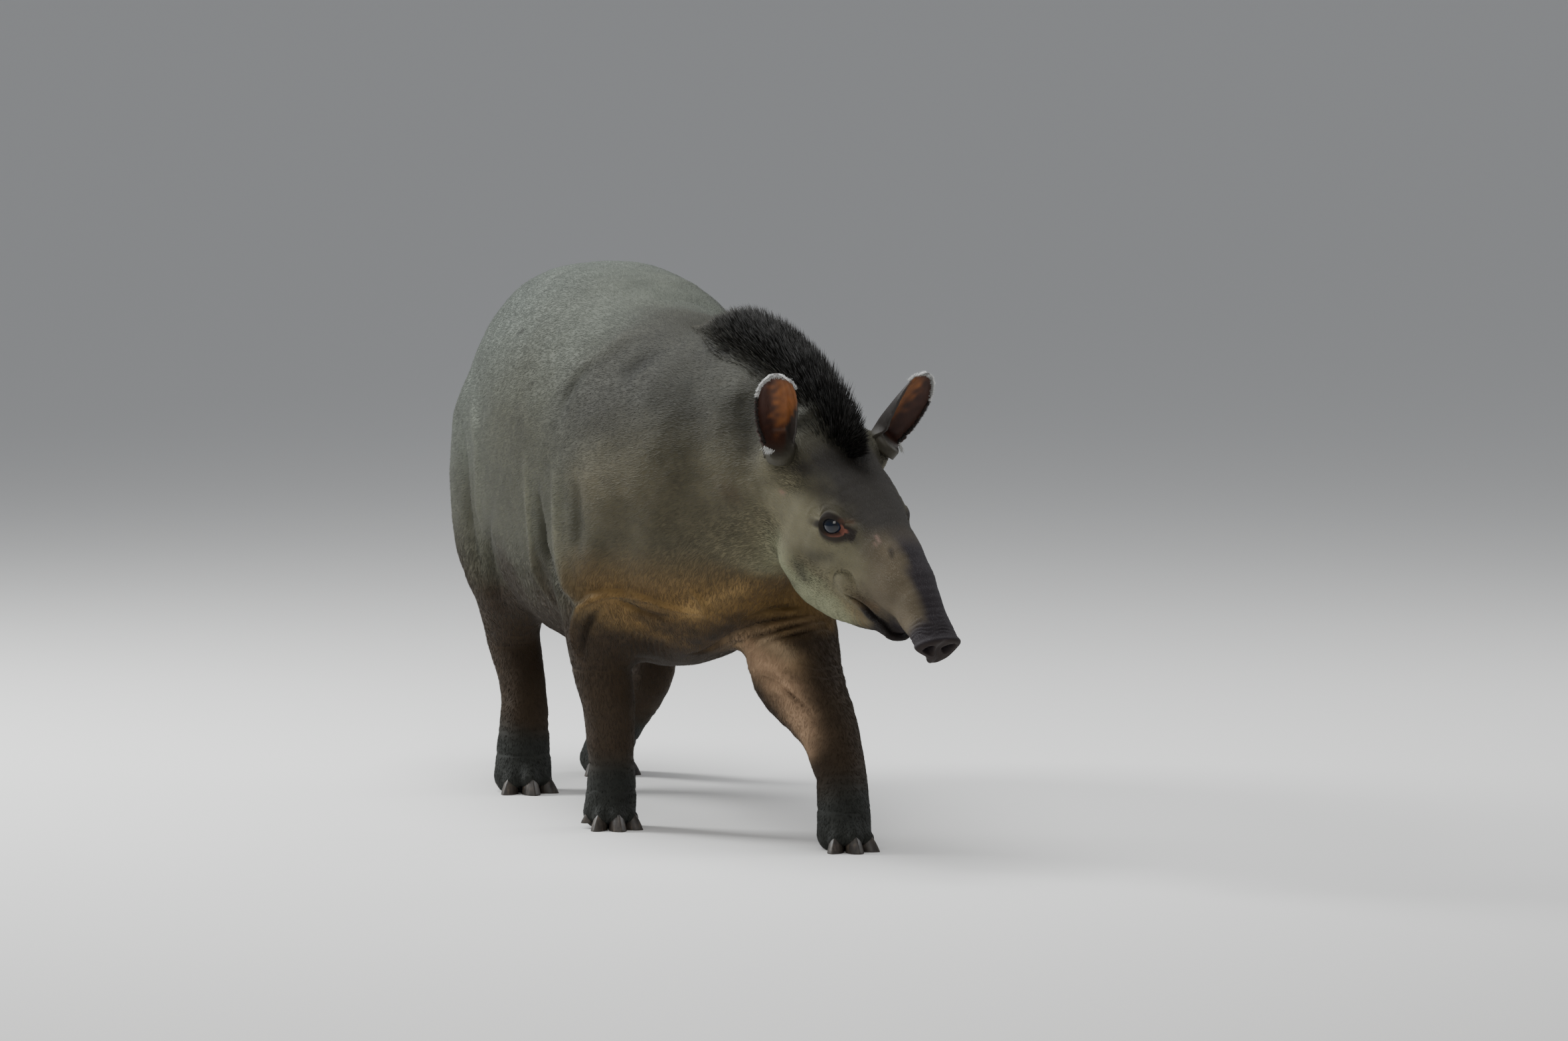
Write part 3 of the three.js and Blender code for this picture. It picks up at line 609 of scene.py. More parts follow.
def seen(tree, pixels):
    """Points on the skin under the given pixels, mm."""
    ways = [unit(-BACKWARD + RIGHTWARD * (x - MIDDLE_X) / FOCAL - UPWARD * (y - MIDDLE_Y) / FOCAL)
            for x, y in pixels]
    hits = [tree.ray_cast(Vector(CAMERA_AT), Vector(way))[0] for way in ways]
    return np.array([to_mm(hit) for hit in hits if hit is not None])


def mirrored(tree, line):
    """The same line on the other flank."""
    return np.array([nearest(tree, p) for p in line * [1, -1, 1] + [0, 20, 0]])


def from_line(points, line):
    """Distance of each point from a line through points, and its share of the line's length."""
    best = np.full(len(points), 1e9)
    share = np.zeros(len(points))
    lengths = np.linalg.norm(np.diff(line, axis=0), axis=1)
    total, gone = lengths.sum(), 0.0
    for a, b, length in zip(line[:-1], line[1:], lengths):
        q = points - a
        t = np.clip(q @ (b - a) / length**2, 0, 1)
        d = np.linalg.norm(q - t[:, None] * (b - a), axis=1)
        nearer = d < best
        best[nearer] = d[nearer]
        share[nearer] = ((gone + t * length) / total)[nearer]
        gone += length
    return best, share


def noise_at(points, scale, seed=0):
    """Smooth random numbers from -1 to 1 over space, scale mm apart, from a few waves."""
    draw = np.random.default_rng(seed)
    total = np.zeros(len(points))
    for _ in range(9):
        way = unit(draw.normal(size=3)) * 2 * math.pi / (scale * draw.uniform(0.7, 1.6))
        total += np.sin(points @ way + draw.uniform(0, 2 * math.pi))
    return total / 3.2


# Folds of the skin: [pixels of the picture, width, height]; a groove has a height below zero
FLANK_FOLDS = [
    ([(787, 690), (790, 745), (797, 795), (806, 845), (822, 885), (842, 915)], 13, 7),
    ([(806, 735), (812, 790), (822, 835), (838, 875), (858, 905)], 15, -8),
    ([(838, 700), (838, 760), (840, 815), (850, 865), (866, 905)], 18, 7),
    ([(868, 720), (866, 780), (872, 840)], 18, -4),
    ([(742, 760), (735, 820), (745, 880), (765, 930)], 18, -4),
    ([(873, 556), (905, 533), (950, 502), (1000, 482), (1050, 470)], 26, 7),
    ([(930, 575), (960, 548), (1010, 520)], 26, -5),
    ([(712, 590), (716, 660), (720, 740), (726, 800)], 22, 4),
    ([(696, 640), (700, 720), (708, 800), (724, 870)], 14, -5),
    ([(846, 640), (852, 600), (872, 566), (900, 545)], 20, -5),
    ([(888, 470), (930, 440), (975, 428)], 22, 3),
    ([(960, 470), (1010, 447), (1060, 440)], 14, -2.5),
    ([(1105, 600), (1120, 650), (1125, 700)], 26, -3),
    ([(1065, 560), (1080, 640), (1085, 720)], 30, 3),
]
CHEST_FOLDS = [
    ([(866, 985), (864, 950), (872, 918), (892, 900), (930, 893), (970, 903)], 7, 6),
    ([(876, 990), (878, 958), (888, 934), (908, 916)], 7, -5),
    ([(930, 905), (970, 922), (1010, 930)], 6, -4),
    ([(945, 888), (985, 905), (1030, 918), (1062, 922)], 6, 3.5),
    ([(1035, 885), (1055, 905), (1060, 930)], 6, 3),
]
ARMPIT_FOLDS = [
    ([(955 + 9 * k + right, 950 + 2.4 * k + down) for right, down in ((0, 0), (-3, 10), (-1, 20), (5, 30))], 4, -2.4)
    for k in range(6)
]
ARM_FOLDS = [
    ([(1108 + 14 * k, 992 + 9 * k), (1135 + 13 * k, 990 + 13 * k), (1160 + 11 * k, 1000 + 15 * k)], 3.2, -1.6)
    for k in range(7)
]
THROAT_FOLDS = [
    ([(1090, 962), (1130, 945), (1180, 930), (1225, 925)], 4.5, -4.5),
    ([(1100, 975), (1140, 957), (1190, 942), (1240, 934)], 4.5, -4.5),
    ([(1112, 988), (1150, 968), (1200, 953), (1246, 946)], 4, -3.5),
    ([(1126, 930), (1170, 916), (1210, 912)], 5, -4),
    ([(1040, 985), (1080, 972), (1110, 950)], 6, -5),
]
FOLD_GAIN = 2.5
# Rings of small folds round wrists, ankles and knees: [height, depth]
LIMB_RINGS = [(118, 2.2), (132, 1.4), (72, 1.8), (300, 1.6), (318, 1.2)]


def level_line(rows):
    """The heights of a limb's stations, low to high, and how far to the side each lies."""
    ordered = sorted((r[2], r[1]) for r in rows)
    return [z for z, _ in ordered], [y for _, y in ordered]


def skin_folds(mesh, tree):
    """Folds, creases and fine wrinkles over the settled skin; gives back how far the folds alone lift each point."""
    p = to_mm(places(mesh))
    n = normals(mesh)
    lift = np.zeros(len(p))
    crown = 1 - 0.85 * ease(0.55, 0.93, n[:, 2]) * ease(600, 760, p[:, 2])

    def fold(line, width, height):
        d, share = from_line(p, smooth_rows(line))
        ends = np.sin(np.pi * np.clip(share, 0.02, 0.98)) ** 0.6 * crown
        lift[:] += FOLD_GAIN * height * np.exp(-(d / width) ** 2) * ends

    for pixels, width, height in FLANK_FOLDS:
        line = seen(tree, pixels)
        fold(line, width, height)
        fold(mirrored(tree, line), width, height)
    for pixels, width, height in CHEST_FOLDS + THROAT_FOLDS + ARM_FOLDS + ARMPIT_FOLDS:
        line = seen(tree, pixels)
        if len(line) > 2:
            fold(line, width, height)
    # This lift of the folds alone is given back to paint shade into the grooves and a highlight onto the ridges
    relief = lift.copy()
    # Broad swells of the muscles under the skin
    body = ease(380, 480, p[:, 2])
    lift += 2.6 * noise_at(p, 190, 3) * body + 0.9 * noise_at(p, 70, 4)
    wave = noise_at(p, 40, 5) * 3
    for rows in LIMB_STATIONS.values():
        side = np.sign(rows[0][1])
        for level, deep in LIMB_RINGS:
            here = (np.abs(p[:, 1] - np.interp(level, *level_line(rows))) < 90) & (p[:, 1] * side > -40)
            lift -= here * deep * np.exp(-((p[:, 2] - level + wave) / 3.4) ** 2) * 0.5
    p = p + n * lift[:, None]
    p[:, 2] = np.maximum(p[:, 2], FLOOR_GAP)
    put(mesh, to_m(p))
    return relief


# The lids lie on a sphere of LID_AT round the eye's middle; their inner edge drops to LID_INSIDE
LID_AT, LID_INSIDE = 26.8, 19.5


def eye_opening(points, side):
    """How far inside the opening of the lids each point lies, on the lids' sphere, mm."""
    nose, upward, outward = eye_axes(side)
    q = points - EYE_AT[side]
    r = np.linalg.norm(q, axis=1)
    a, b, c = (q @ nose) / r * LID_AT, (q @ upward) / r * LID_AT, (q @ outward) / r
    reach = np.where(a > 0, 22.0, 19.5)
    bend = np.clip(1 - (a / reach) ** 2, 0, 1) ** 0.55
    high, low = 16.5 * bend, 15.0 * bend
    inside = np.minimum(high - b, b + low)
    past = np.abs(a) - reach
    inside = np.where(past > 0, -np.hypot(past, np.maximum(np.abs(b) - 1, 0)), inside)
    return np.where(c > 0.15, inside, -30), r, a, b


def lid_opening(points):
    """How far inside the opening of either eye's lids each point lies, mm."""
    return np.maximum(eye_opening(points, 1)[0], eye_opening(points, -1)[0])


def sculpt_eyes(mesh):
    """Lids that stand out round the ball, with two creases above and one below, and drop inwards at their edge."""
    p = to_mm(places(mesh))
    for side in (1, -1):
        inside, r, _, b = eye_opening(p, side)
        outward = (p - EYE_AT[side]) / r[:, None]
        near = (r < 60) & (inside > -29)
        lid = LID_AT + 1.1 * np.exp(-((inside + 2.6) / 1.8) ** 2)
        skin_r = r + (np.maximum(r, lid) - r) * ease(-22, -10, inside)
        crease = 1.7 * np.exp(-((inside + 8.5) / 1.6) ** 2) + 0.9 * np.exp(-((inside + 13) / 1.6) ** 2)
        skin_r = skin_r - crease * ease(-6, 4, b) - 0.5 * crease
        new = np.where(near, skin_r + (LID_INSIDE - skin_r) * ease(-0.5, 0.6, inside), r)
        p = np.where(near[:, None], EYE_AT[side] + outward * new[:, None], p)
    put(mesh, to_m(p))


NOSTRIL_OUT, NOSTRIL_UP, NOSTRIL_WIDE, NOSTRIL_HIGH, NOSTRIL_DEEP = 21, 44, 13.5, 17, 24
SNOUT_LEAN = 15


def sculpt_snout(mesh):
    """Nostrils, the rim of the snout's end, and the rings of small wrinkles above it."""
    p = to_mm(places(mesh))
    n = normals(mesh)
    f, s, u = HEAD.local(p)
    at, facing = snout_end()
    upward = np.cross(facing, HEAD.left)
    front = (p - at) @ facing
    rise = (p - at) @ upward
    tip = (f > 360) & (u > -120) & (p[:, 2] > 300)
    deep = np.zeros(len(p))
    for side in (1, -1):
        a = (s - side * NOSTRIL_OUT - side * (rise - 36) * 0.12) / NOSTRIL_WIDE
        b = (rise - NOSTRIL_UP) / NOSTRIL_HIGH
        inside = 1 - np.hypot(a, b)
        deep = np.maximum(deep, NOSTRIL_DEEP * ease(-0.02, 0.55, inside) * (front > -3))
        rim = 2.0 * np.exp(-((inside + 0.16) / 0.12) ** 2)
        deep = np.where((inside < 0) & (front > -3), deep - rim, deep)
    between = np.exp(-(s / 7) ** 2) * (front > -3) * 2.5
    p = p - facing * (np.where(tip, deep + between, 0))[:, None]
    rim = np.exp(-((front + 5) / 5) ** 2) * 2.2 * (tip & (np.abs(front) < 22))
    rings = np.where(tip, 0.5 * np.sin((front + 7 * noise_at(p, 38, 7)) * 2 * math.pi / 9.5), 0)
    rings *= ease(-8, -16, front) * ease(-100, -25, front) * (0.6 + 0.5 * noise_at(p, 26, 8))
    p = p + n * (rim + rings)[:, None]
    # The lower part of the end is drawn in, forward and a little to the left
    _, s, u = HEAD.local(p)
    low = np.where(tip, ease(8, -26, u + 26) * ease(370, 445, f), 0)
    p = p - HEAD.left * (s * 0.42 * low - SNOUT_LEAN * low)[:, None] + HEAD.forward * (7 * low)[:, None]
    put(mesh, to_m(p))


def mouth_level(f):
    """How high the line of the mouth lies, along the head."""
    return MOUTH_LEVEL + 6 * np.exp(-((f - 300) / 28) ** 2) - 3 * ease(280, 230, f) + 9 * ease(305, 345, f)


def sculpt_mouth(mesh, tree):
    """The line of the mouth between two lips, and the round fold at its corner."""
    p = to_mm(places(mesh))
    n = normals(mesh)
    f, _, u = HEAD.local(p)
    jaw = (f > 180) & (f < 392) & (p[:, 2] > 330) & (u > -140) & (u < -50)
    away = u - mouth_level(f)
    lift = 4.2 * np.exp(-((away - 8) / 5.5) ** 2) + 3.4 * np.exp(-((away + 8) / 5.5) ** 2)
    lift -= 6.5 * np.exp(-(away / 2) ** 2)
    bulge = np.zeros(len(p))
    for side in (1, -1):
        q = p - nearest(tree, HEAD.at(246, side * 60, -84))
        d = np.linalg.norm(q, axis=1)
        behind = ease(-0.1, 0.8, (q @ (HEAD.up * 0.8 - HEAD.forward * 0.6)) / np.maximum(d, 1))
        bulge += 11 * np.exp(-(d / 20) ** 2) - 6.5 * np.exp(-((d - 33) / 6) ** 2) * behind
    p = p + n * (lift * (ease(236, 262, f) * jaw) + bulge)[:, None]
    put(mesh, to_m(p))


FLANKS_FROM, BACK_FROM = 0.292, 1.0


def held_in(mesh):
    """The folds of the flanks and back are pressed flatter where they would reach past the solids' own box."""
    p = places(mesh)
    wide = np.abs(p[:, 1])
    p[:, 1] = np.sign(p[:, 1]) * (np.minimum(wide, FLANKS_FROM) + np.maximum(wide - FLANKS_FROM, 0) * 0.45)
    p[:, 2] = np.minimum(p[:, 2], BACK_FROM) + np.maximum(p[:, 2] - BACK_FROM, 0) * 0.82
    put(mesh, p)


def refine_skin(mesh):
    """Smaller faces on the head and the places of fine wrinkles, smallest at eyes, mouth and nostrils."""
    def here():
        p = to_mm(places(mesh))
        return p, p[:, 2] > 330, *HEAD.local(p)

    def near_eyes(p, far):
        return distance_to(p, EYE_AT.values()) < far

    def fine_places(eye, mouth_back, mouth_low, mouth_high, tip):
        p, high, f, _, u = here()
        mouth = (f > mouth_back) & (u > mouth_low) & (u < mouth_high)
        return near_eyes(p, eye) | ((mouth | (f > tip)) & high)

    p, high, f, s, u = here()
    head = (f > -30) & (np.abs(s) < 170) & (u > -250) & (u < 150) & high
    arms = (p[:, 0] > 300) & (p[:, 0] < 640) & (p[:, 2] > 250) & (p[:, 2] < 470)
    subdivided(mesh, head | arms | (p[:, 2] < 90))
    p, high, f, _, u = here()
    settle(mesh, 3, 0.35, only=((f > -40) & high & (u > -255)) | (p[:, 2] < 92))
    subdivided(mesh, fine_places(62, 205, -132, -55, 400))
    settle(mesh, 3, 0.35, only=fine_places(64, 200, -135, -50, 395))
    p = here()[0]
    subdivided(mesh, near_eyes(p, 50) & (lid_opening(p) > -14))
    settle(mesh, 2, 0.35, only=near_eyes(here()[0], 48))


# Colours of the coat, linear
def shade(*rgb):
    return np.array(rgb, float)


# Painted sheen: a light grey laid where the sky's light falls on the top of the back and on the rump
BACK_PAINTED_SHEEN = shade(0.098, 0.109, 0.093)
BODY_GREY = shade(0.054, 0.053, 0.036)
UPPER_NECK = shade(0.032, 0.030, 0.023)
# Partly the belly's own brown, partly painted shade under the body
BELLY_BROWN_AND_SHADE = shade(0.034, 0.022, 0.012)
LEG_BROWN = shade(0.032, 0.021, 0.012)
FOOT_GREY = shade(0.020, 0.021, 0.018)
NECK_TAN = shade(0.082, 0.071, 0.044)
THROAT_TAN = shade(0.115, 0.070, 0.025)
CHEEK_PALE = shade(0.130, 0.117, 0.072)
JAW_PALE = shade(0.200, 0.205, 0.128)
BROW_DARK = shade(0.018, 0.015, 0.013)
SNOUT_DARK = shade(0.020, 0.016, 0.018)
SNOUT_SIDE = shade(0.090, 0.072, 0.046)
LIP_BLACK = shade(0.010, 0.007, 0.006)
ARM_PINK = shade(0.400, 0.265, 0.165)
CREST_DARK = shade(0.0065, 0.0055, 0.0045)
EYE_PINK = shade(0.240, 0.085, 0.060)
EAR_BACK = shade(0.028, 0.023, 0.020)
EAR_ORANGE = shade(0.165, 0.058, 0.015)
# Painted shade deep inside the ear's cup
EAR_CUP_SHADE = shade(0.036, 0.012, 0.007)
EAR_WHITE = shade(0.62, 0.62, 0.60)
# The pupil's dark blue is partly its own tint and partly a painted reflection of the sky
PUPIL_BLUE_AND_REFLECTION = shade(0.003, 0.006, 0.014)
IRIS_DARK = shade(0.008, 0.009, 0.012)
EYE_WHITE = shade(0.05, 0.03, 0.025)


def filled(colour, count):
    return np.tile(colour, (count, 1))


def mixed(a, b, share):
    """From colours a to b, by a share for each point."""
    return a + (b - a) * np.clip(share, 0, 1)[:, None]


CREST_POINTS = smooth_rows([[372, 0, 720], [430, 8, 720], [540, 42, 715], [640, 84, 710], [715, 120, 705],
                            HEAD.at(-10, 0, -30), HEAD.at(30, 0, -30), HEAD.at(56, 0, -30)], 10)


def crest_side(points):
    """Each point's share of the crest's length, and how far it lies from the crest's upright sheet."""
    flat, line = points[:, :2], CREST_POINTS[:, :2]
    lengths = np.linalg.norm(np.diff(line, axis=0), axis=1)
    ends = np.concatenate([[0], np.cumsum(lengths)])
    best, share, off = np.full(len(points), 1e9), np.zeros(len(points)), np.zeros(len(points))
    for i, length in enumerate(lengths):
        way = (line[i + 1] - line[i]) / length
        q = flat - line[i]
        t = np.clip(q @ way, 0, length)
        q = q - t[:, None] * way
        d = np.linalg.norm(q, axis=1)
        nearer = d < best
        best[nearer] = d[nearer]
        share[nearer] = ((ends[i] + t) / ends[-1])[nearer]
        off[nearer] = (way[0] * q[:, 1] - way[1] * q[:, 0])[nearer]
    return share, off, best


# Marks of the skin: [pixels of the picture, width in mm, colour, strength]
MARKS = [
    ([(1112, 972), (1150, 985), (1183, 1000)], 34, shade(0.23, 0.155, 0.085), 0.85),
    ([(1130, 985), (1160, 1005), (1187, 1045), (1205, 1090), (1215, 1120)], 31, ARM_PINK, 0.85),
    ([(1125, 952), (1180, 942), (1225, 938)], 16, shade(0.16, 0.105, 0.055), 0.6),
    # A painted highlight: light tan on the chest folds
    ([(1040, 920), (1075, 905), (1110, 890)], 22, shade(0.26, 0.17, 0.07), 0.5),
    ([(784, 498), (787, 500)], 6, LIP_BLACK, 0.8),
    ([(984, 448), (990, 449)], 4, LIP_BLACK, 0.5),
    ([(800, 576), (802, 577)], 3.5, LIP_BLACK, 0.6),
    ([(1341, 828), (1343, 838)], 5, LIP_BLACK, 0.65),
    ([(1266, 784), (1283, 787)], 5, shade(0.095, 0.042, 0.026), 0.5),
    ([(1320, 808), (1324, 816)], 3, shade(0.30, 0.19, 0.16), 0.5),
    ([(1316, 818), (1320, 822)], 2.5, shade(0.26, 0.16, 0.13), 0.4),
    ([(1203, 852), (1212, 868)], 13, BROW_DARK, 0.6),
    ([(1226, 838), (1250, 840)], 12, BROW_DARK, 0.4),
    ([(1176, 741), (1180, 744)], 3.5, shade(0.30, 0.16, 0.13), 0.6),
    ([(1095, 735), (1110, 748)], 20, shade(0.05, 0.036, 0.022), 0.5),
    ([(1188, 868), (1200, 880)], 12, BROW_DARK, 0.35),
    ([(1150, 965), (1185, 985)], 16, shade(0.40, 0.30, 0.19), 0.6),
    ([(1290, 905), (1320, 915)], 9, shade(0.10, 0.065, 0.035), 0.5),
]


def markings(p, n, marks):
    """The coat's colour at points of the skin, with painted sheen on the back and rump, partly painted shade low on
    the body and painted shade in the hollow below each eye, and a painted highlight on the chest: each layer goes
    over those before it.
    """
    x, _, z = p.T
    f, s, u = HEAD.local(p)
    wave, fine = noise_at(p, 120, 11), noise_at(p, 34, 12)
    rear = ease(120, -420, x + 30 * wave)
    neck = ease(330, 520, x + 20 * wave) * ease(380, 520, z)
    head = on_head(p, -70, 40)
    cheek = head * ease(52, -28, u + 10 * fine) * ease(18, 62, np.abs(s) + 6 * fine)
    snout = head * ease(225, 300, f + 12 * wave)
    level = mouth_level(f)
    lips = ease(262, 300, f) * ease(11, 4, np.abs(u - level + 2) + 2 * fine) * head
    lips = np.maximum(lips, head * ease(306, 338, f) * ease(-66, -78, u) * ease(402, 388, f))
    lips = np.maximum(lips, head * ease(246, 300, f) * np.exp(-((u - level) / 15) ** 2) * 0.7)
    at, facing = snout_end()
    tip = head * (f > 380) * ease(-5, -1, (p - at) @ facing)
    tail = TAIL_ROOT + TAIL_ALONG * np.clip((p - TAIL_ROOT) @ TAIL_ALONG, 15, 80)[:, None]
    share, off, apart = crest_side(p)
    wide = 14 + 40 * ease(0.06, 0.46, share) - 40 * ease(0.8, 1, share)
    crest = ease(wide + 26, wide - 16, np.abs(off) + 7 * fine) * ease(0.08, 0.55, share) * ease(1.0, 0.985, share)
    crest *= ease(-0.15, 0.1, n[:, 2])
    crest *= (z > 560) * (apart < 60)
    layers = [
        # Painted sheen: lighter where the skin faces up high on the body, more so towards the rump, and lighter
        # again over the rump's upper part
        (BACK_PAINTED_SHEEN, ease(640, 960, z + 40 * wave) * ease(-0.2, 0.7, n[:, 2]) * (0.55 + 0.45 * rear)),
        (BACK_PAINTED_SHEEN, rear * ease(480, 760, z + 30 * wave) * 0.7),
        (UPPER_NECK, ease(190, 400, x + 25 * wave) * ease(620, 800, z) * 0.9),
        # Darker brown towards the bottom of the body: partly its own colour, partly painted shade under the body
        (BELLY_BROWN_AND_SHADE, ease(520, 330, z + 30 * wave) * 0.9),
        (NECK_TAN, neck * ease(820, 640, z) * 0.9),
        (THROAT_TAN, ease(350, 470, x) * ease(560, 440, z) * ease(-0.1, 0.5, n[:, 0])),
        (LEG_BROWN, ease(450, 350, z + 25 * wave + 10 * fine)),
        (FOOT_GREY, ease(150, 80, z + 10 * wave)),
        (BROW_DARK, head * ease(-10, 50, f) * ease(-20, 30, u + 12 * wave) * 0.92),
        (CHEEK_PALE, cheek * 0.92),
        (JAW_PALE, head * ease(-96, -150, u + 8 * fine) * ease(330, 250, f) * ease(10, 90, f) * 0.9),
        (SNOUT_SIDE, snout * ease(-100, -70, u)),
        (SNOUT_DARK, snout * np.maximum(ease(-32, -8, s + 4 * fine), ease(405, 440, f))),
        (LIP_BLACK, lips),
        (LIP_BLACK * 2, tip * 0.8),
        (LEG_BROWN * 1.4, ease(44, 26, np.linalg.norm(p - tail, axis=1)) * 0.8),
        (CREST_DARK, crest * 0.97),
    ]
    for side in (1, -1):
        inside, r, a, b = eye_opening(p, side)
        near = r < 60
        ring = ease(-8, -3.5, inside + fine) * near
        pink = near * np.exp(-((inside + 0.6) / 0.6) ** 2) * ease(-4, -9, b) * ease(-14, 6, a) * 0.6
        pink = np.maximum(pink, near * ease(-2, -0.8, inside) * ease(18, 21, a) * 0.7)
        # Painted shade: the hollow below each eye, between the eye's bulge and the cheek, is darkened
        hollow = np.exp(-(distance_to(p, [EYE_AT[side] + HEAD.along(-8, 0, -72)]) / 26) ** 2)
        layers += [(LIP_BLACK * 1.3, ring * 0.92), (EYE_PINK, pink * 0.75), (BROW_DARK, hollow * 0.55 * (1 - ring))]
    colour = filled(BODY_GREY, len(p))
    for tone, amount in layers:
        colour = mixed(colour, tone, amount)
    for line, width, mark, strength in marks:
        near = np.flatnonzero(np.linalg.norm(p - line.mean(0), axis=1) < 260)
        d, _ = from_line(p[near], line)
        colour[near] = mixed(colour[near], mark, strength * np.exp(-(d / width) ** 2) * (1 + 0.1 * fine[near]))
    return colour * (1 + 0.06 * fine + 0.07 * wave)[:, None]


def ear_rows(side, rows=54, columns=60):
    """Sections of an ear's shell, root to tip: round the back from rim to rim, then back inside the cup."""
    root, along, opening, across = ear_axes(side)
    half_count = columns // 2
    sections = []
    for i in range(rows):
        t = -0.16 + 1.15 * (i / (rows - 1)) ** 0.92
        half, deep = ear_size(t)
        half = half - 4.5 * float(ease(0.1, 0.4, t) * ease(1.0, 0.9, t))
        at = root + along * t * EAR_LENGTH
        hollow = ease(-0.06, 0.14, t)
        ragged = 1.3 * math.sin(t * 47 + 2 * side) + 1.1 * math.sin(t * 89 + 1) + 0.5 * math.sin(t * 171)
        points = []
        for k in range(columns):
            back = k < half_count
            angle = math.pi * (k / (half_count - 1)) if back else math.pi * (1 - (k - half_count) / (half_count - 1))
            c, w = math.cos(angle), math.sin(angle)
            if back:
                point = at + across * half * c - opening * deep * w
            else:
                reach = (1 - hollow) * deep - hollow * max(deep - EAR_WALL, 1)
                ridge = 0.9 * hollow * math.sin(9 * angle) * w
                inner = reach * w + ridge + 1.6 * (1 - w) * hollow
                point = at + across * (half - EAR_WALL * 0.7) * c + opening * inner
            rim = math.exp(-(w / 0.12) ** 2) * hollow
            inward = c * side
            roll = float(ease(0.35, 1, inward)) * hollow * (1.15 - t)
            sideways = c * rim * ragged * (0.3 if inward > 0 else 1.4) - side * roll * 9
            points.append(point + across * sideways + opening * roll * 13)
        sections.append(points)
    return sections


def ear_markings(p, n, side):
    """Dark outside, bare and orange inside towards the head with painted shade deeper in the cup, white round the
    top.
    """
    root, along, opening, across = ear_axes(side)
    q = p - root
    t = q @ along / EAR_LENGTH
    half, deep = ear_size(t)
    wide, front = (q @ across) / half, (q @ opening) / deep
    inward = wide * side
    fine = noise_at(p, 16, 21)
    colour = mixed(filled(EAR_BACK, len(p)), NECK_TAN * 0.4, ease(0.12, -0.06, t))
    # Painted shade inside the cup: dark brown towards its outer side, its bottom and its tip, orange elsewhere
    warm = ease(-0.45, 0.2, inward + 0.12 * fine) * ease(0.02, 0.25, t + 0.03 * fine) * ease(0.97, 0.80, t)
    inside = mixed(filled(EAR_CUP_SHADE, len(p)), EAR_ORANGE, warm) * (1 + 0.12 * fine)[:, None]
    low, high = (0.05, 0.80) if side > 0 else (0.25, 0.86)
    edge = low + (high - low) * ease(0.05, 0.85, t)
    face = (n @ opening > 0.05) & (np.abs(wide) < 0.99)
    face = face * ease(0.985, 0.93, -inward) * ease(edge + 0.1, edge - 0.06, inward + 0.06 * fine)
    colour = mixed(colour, inside, face * ease(-0.04, 0.08, t))
    from_tip = np.hypot(wide * 0.96, np.clip((t - 0.75) / 0.25, 0, 1) * 0.93)
    rim = ease(0.70, 0.78, t + 0.02 * fine) * ease(0.87, 0.97, from_tip) * ease(-0.6, -0.1, front)
    return mixed(colour, EAR_WHITE, rim)


def paint(mesh, colours):
    """Each vertex gets its colour, in the attribute that the finishes read."""
    layer = mesh.color_attributes.new("tone", "FLOAT_COLOR", "POINT")
    rgba = np.ones((len(mesh.vertices), 4), np.float32)
    rgba[:, :3] = np.clip(colours, 0, 1)
    layer.data.foreach_set("color", rgba.ravel())


def make_ear(side, name):
    piece = bmesh.new()
    extruded(piece, [[to_m(p) for p in row] for row in ear_rows(side)])
    bmesh.ops.triangulate(piece, faces=[f for f in piece.faces if len(f.verts) > 4])
    bmesh.ops.recalc_face_normals(piece, faces=piece.faces[:])
    obj = new_object(name, piece)
    smooth(obj)
    paint(obj.data, ear_markings(to_mm(places(obj.data)), normals(obj.data), side))
    return obj


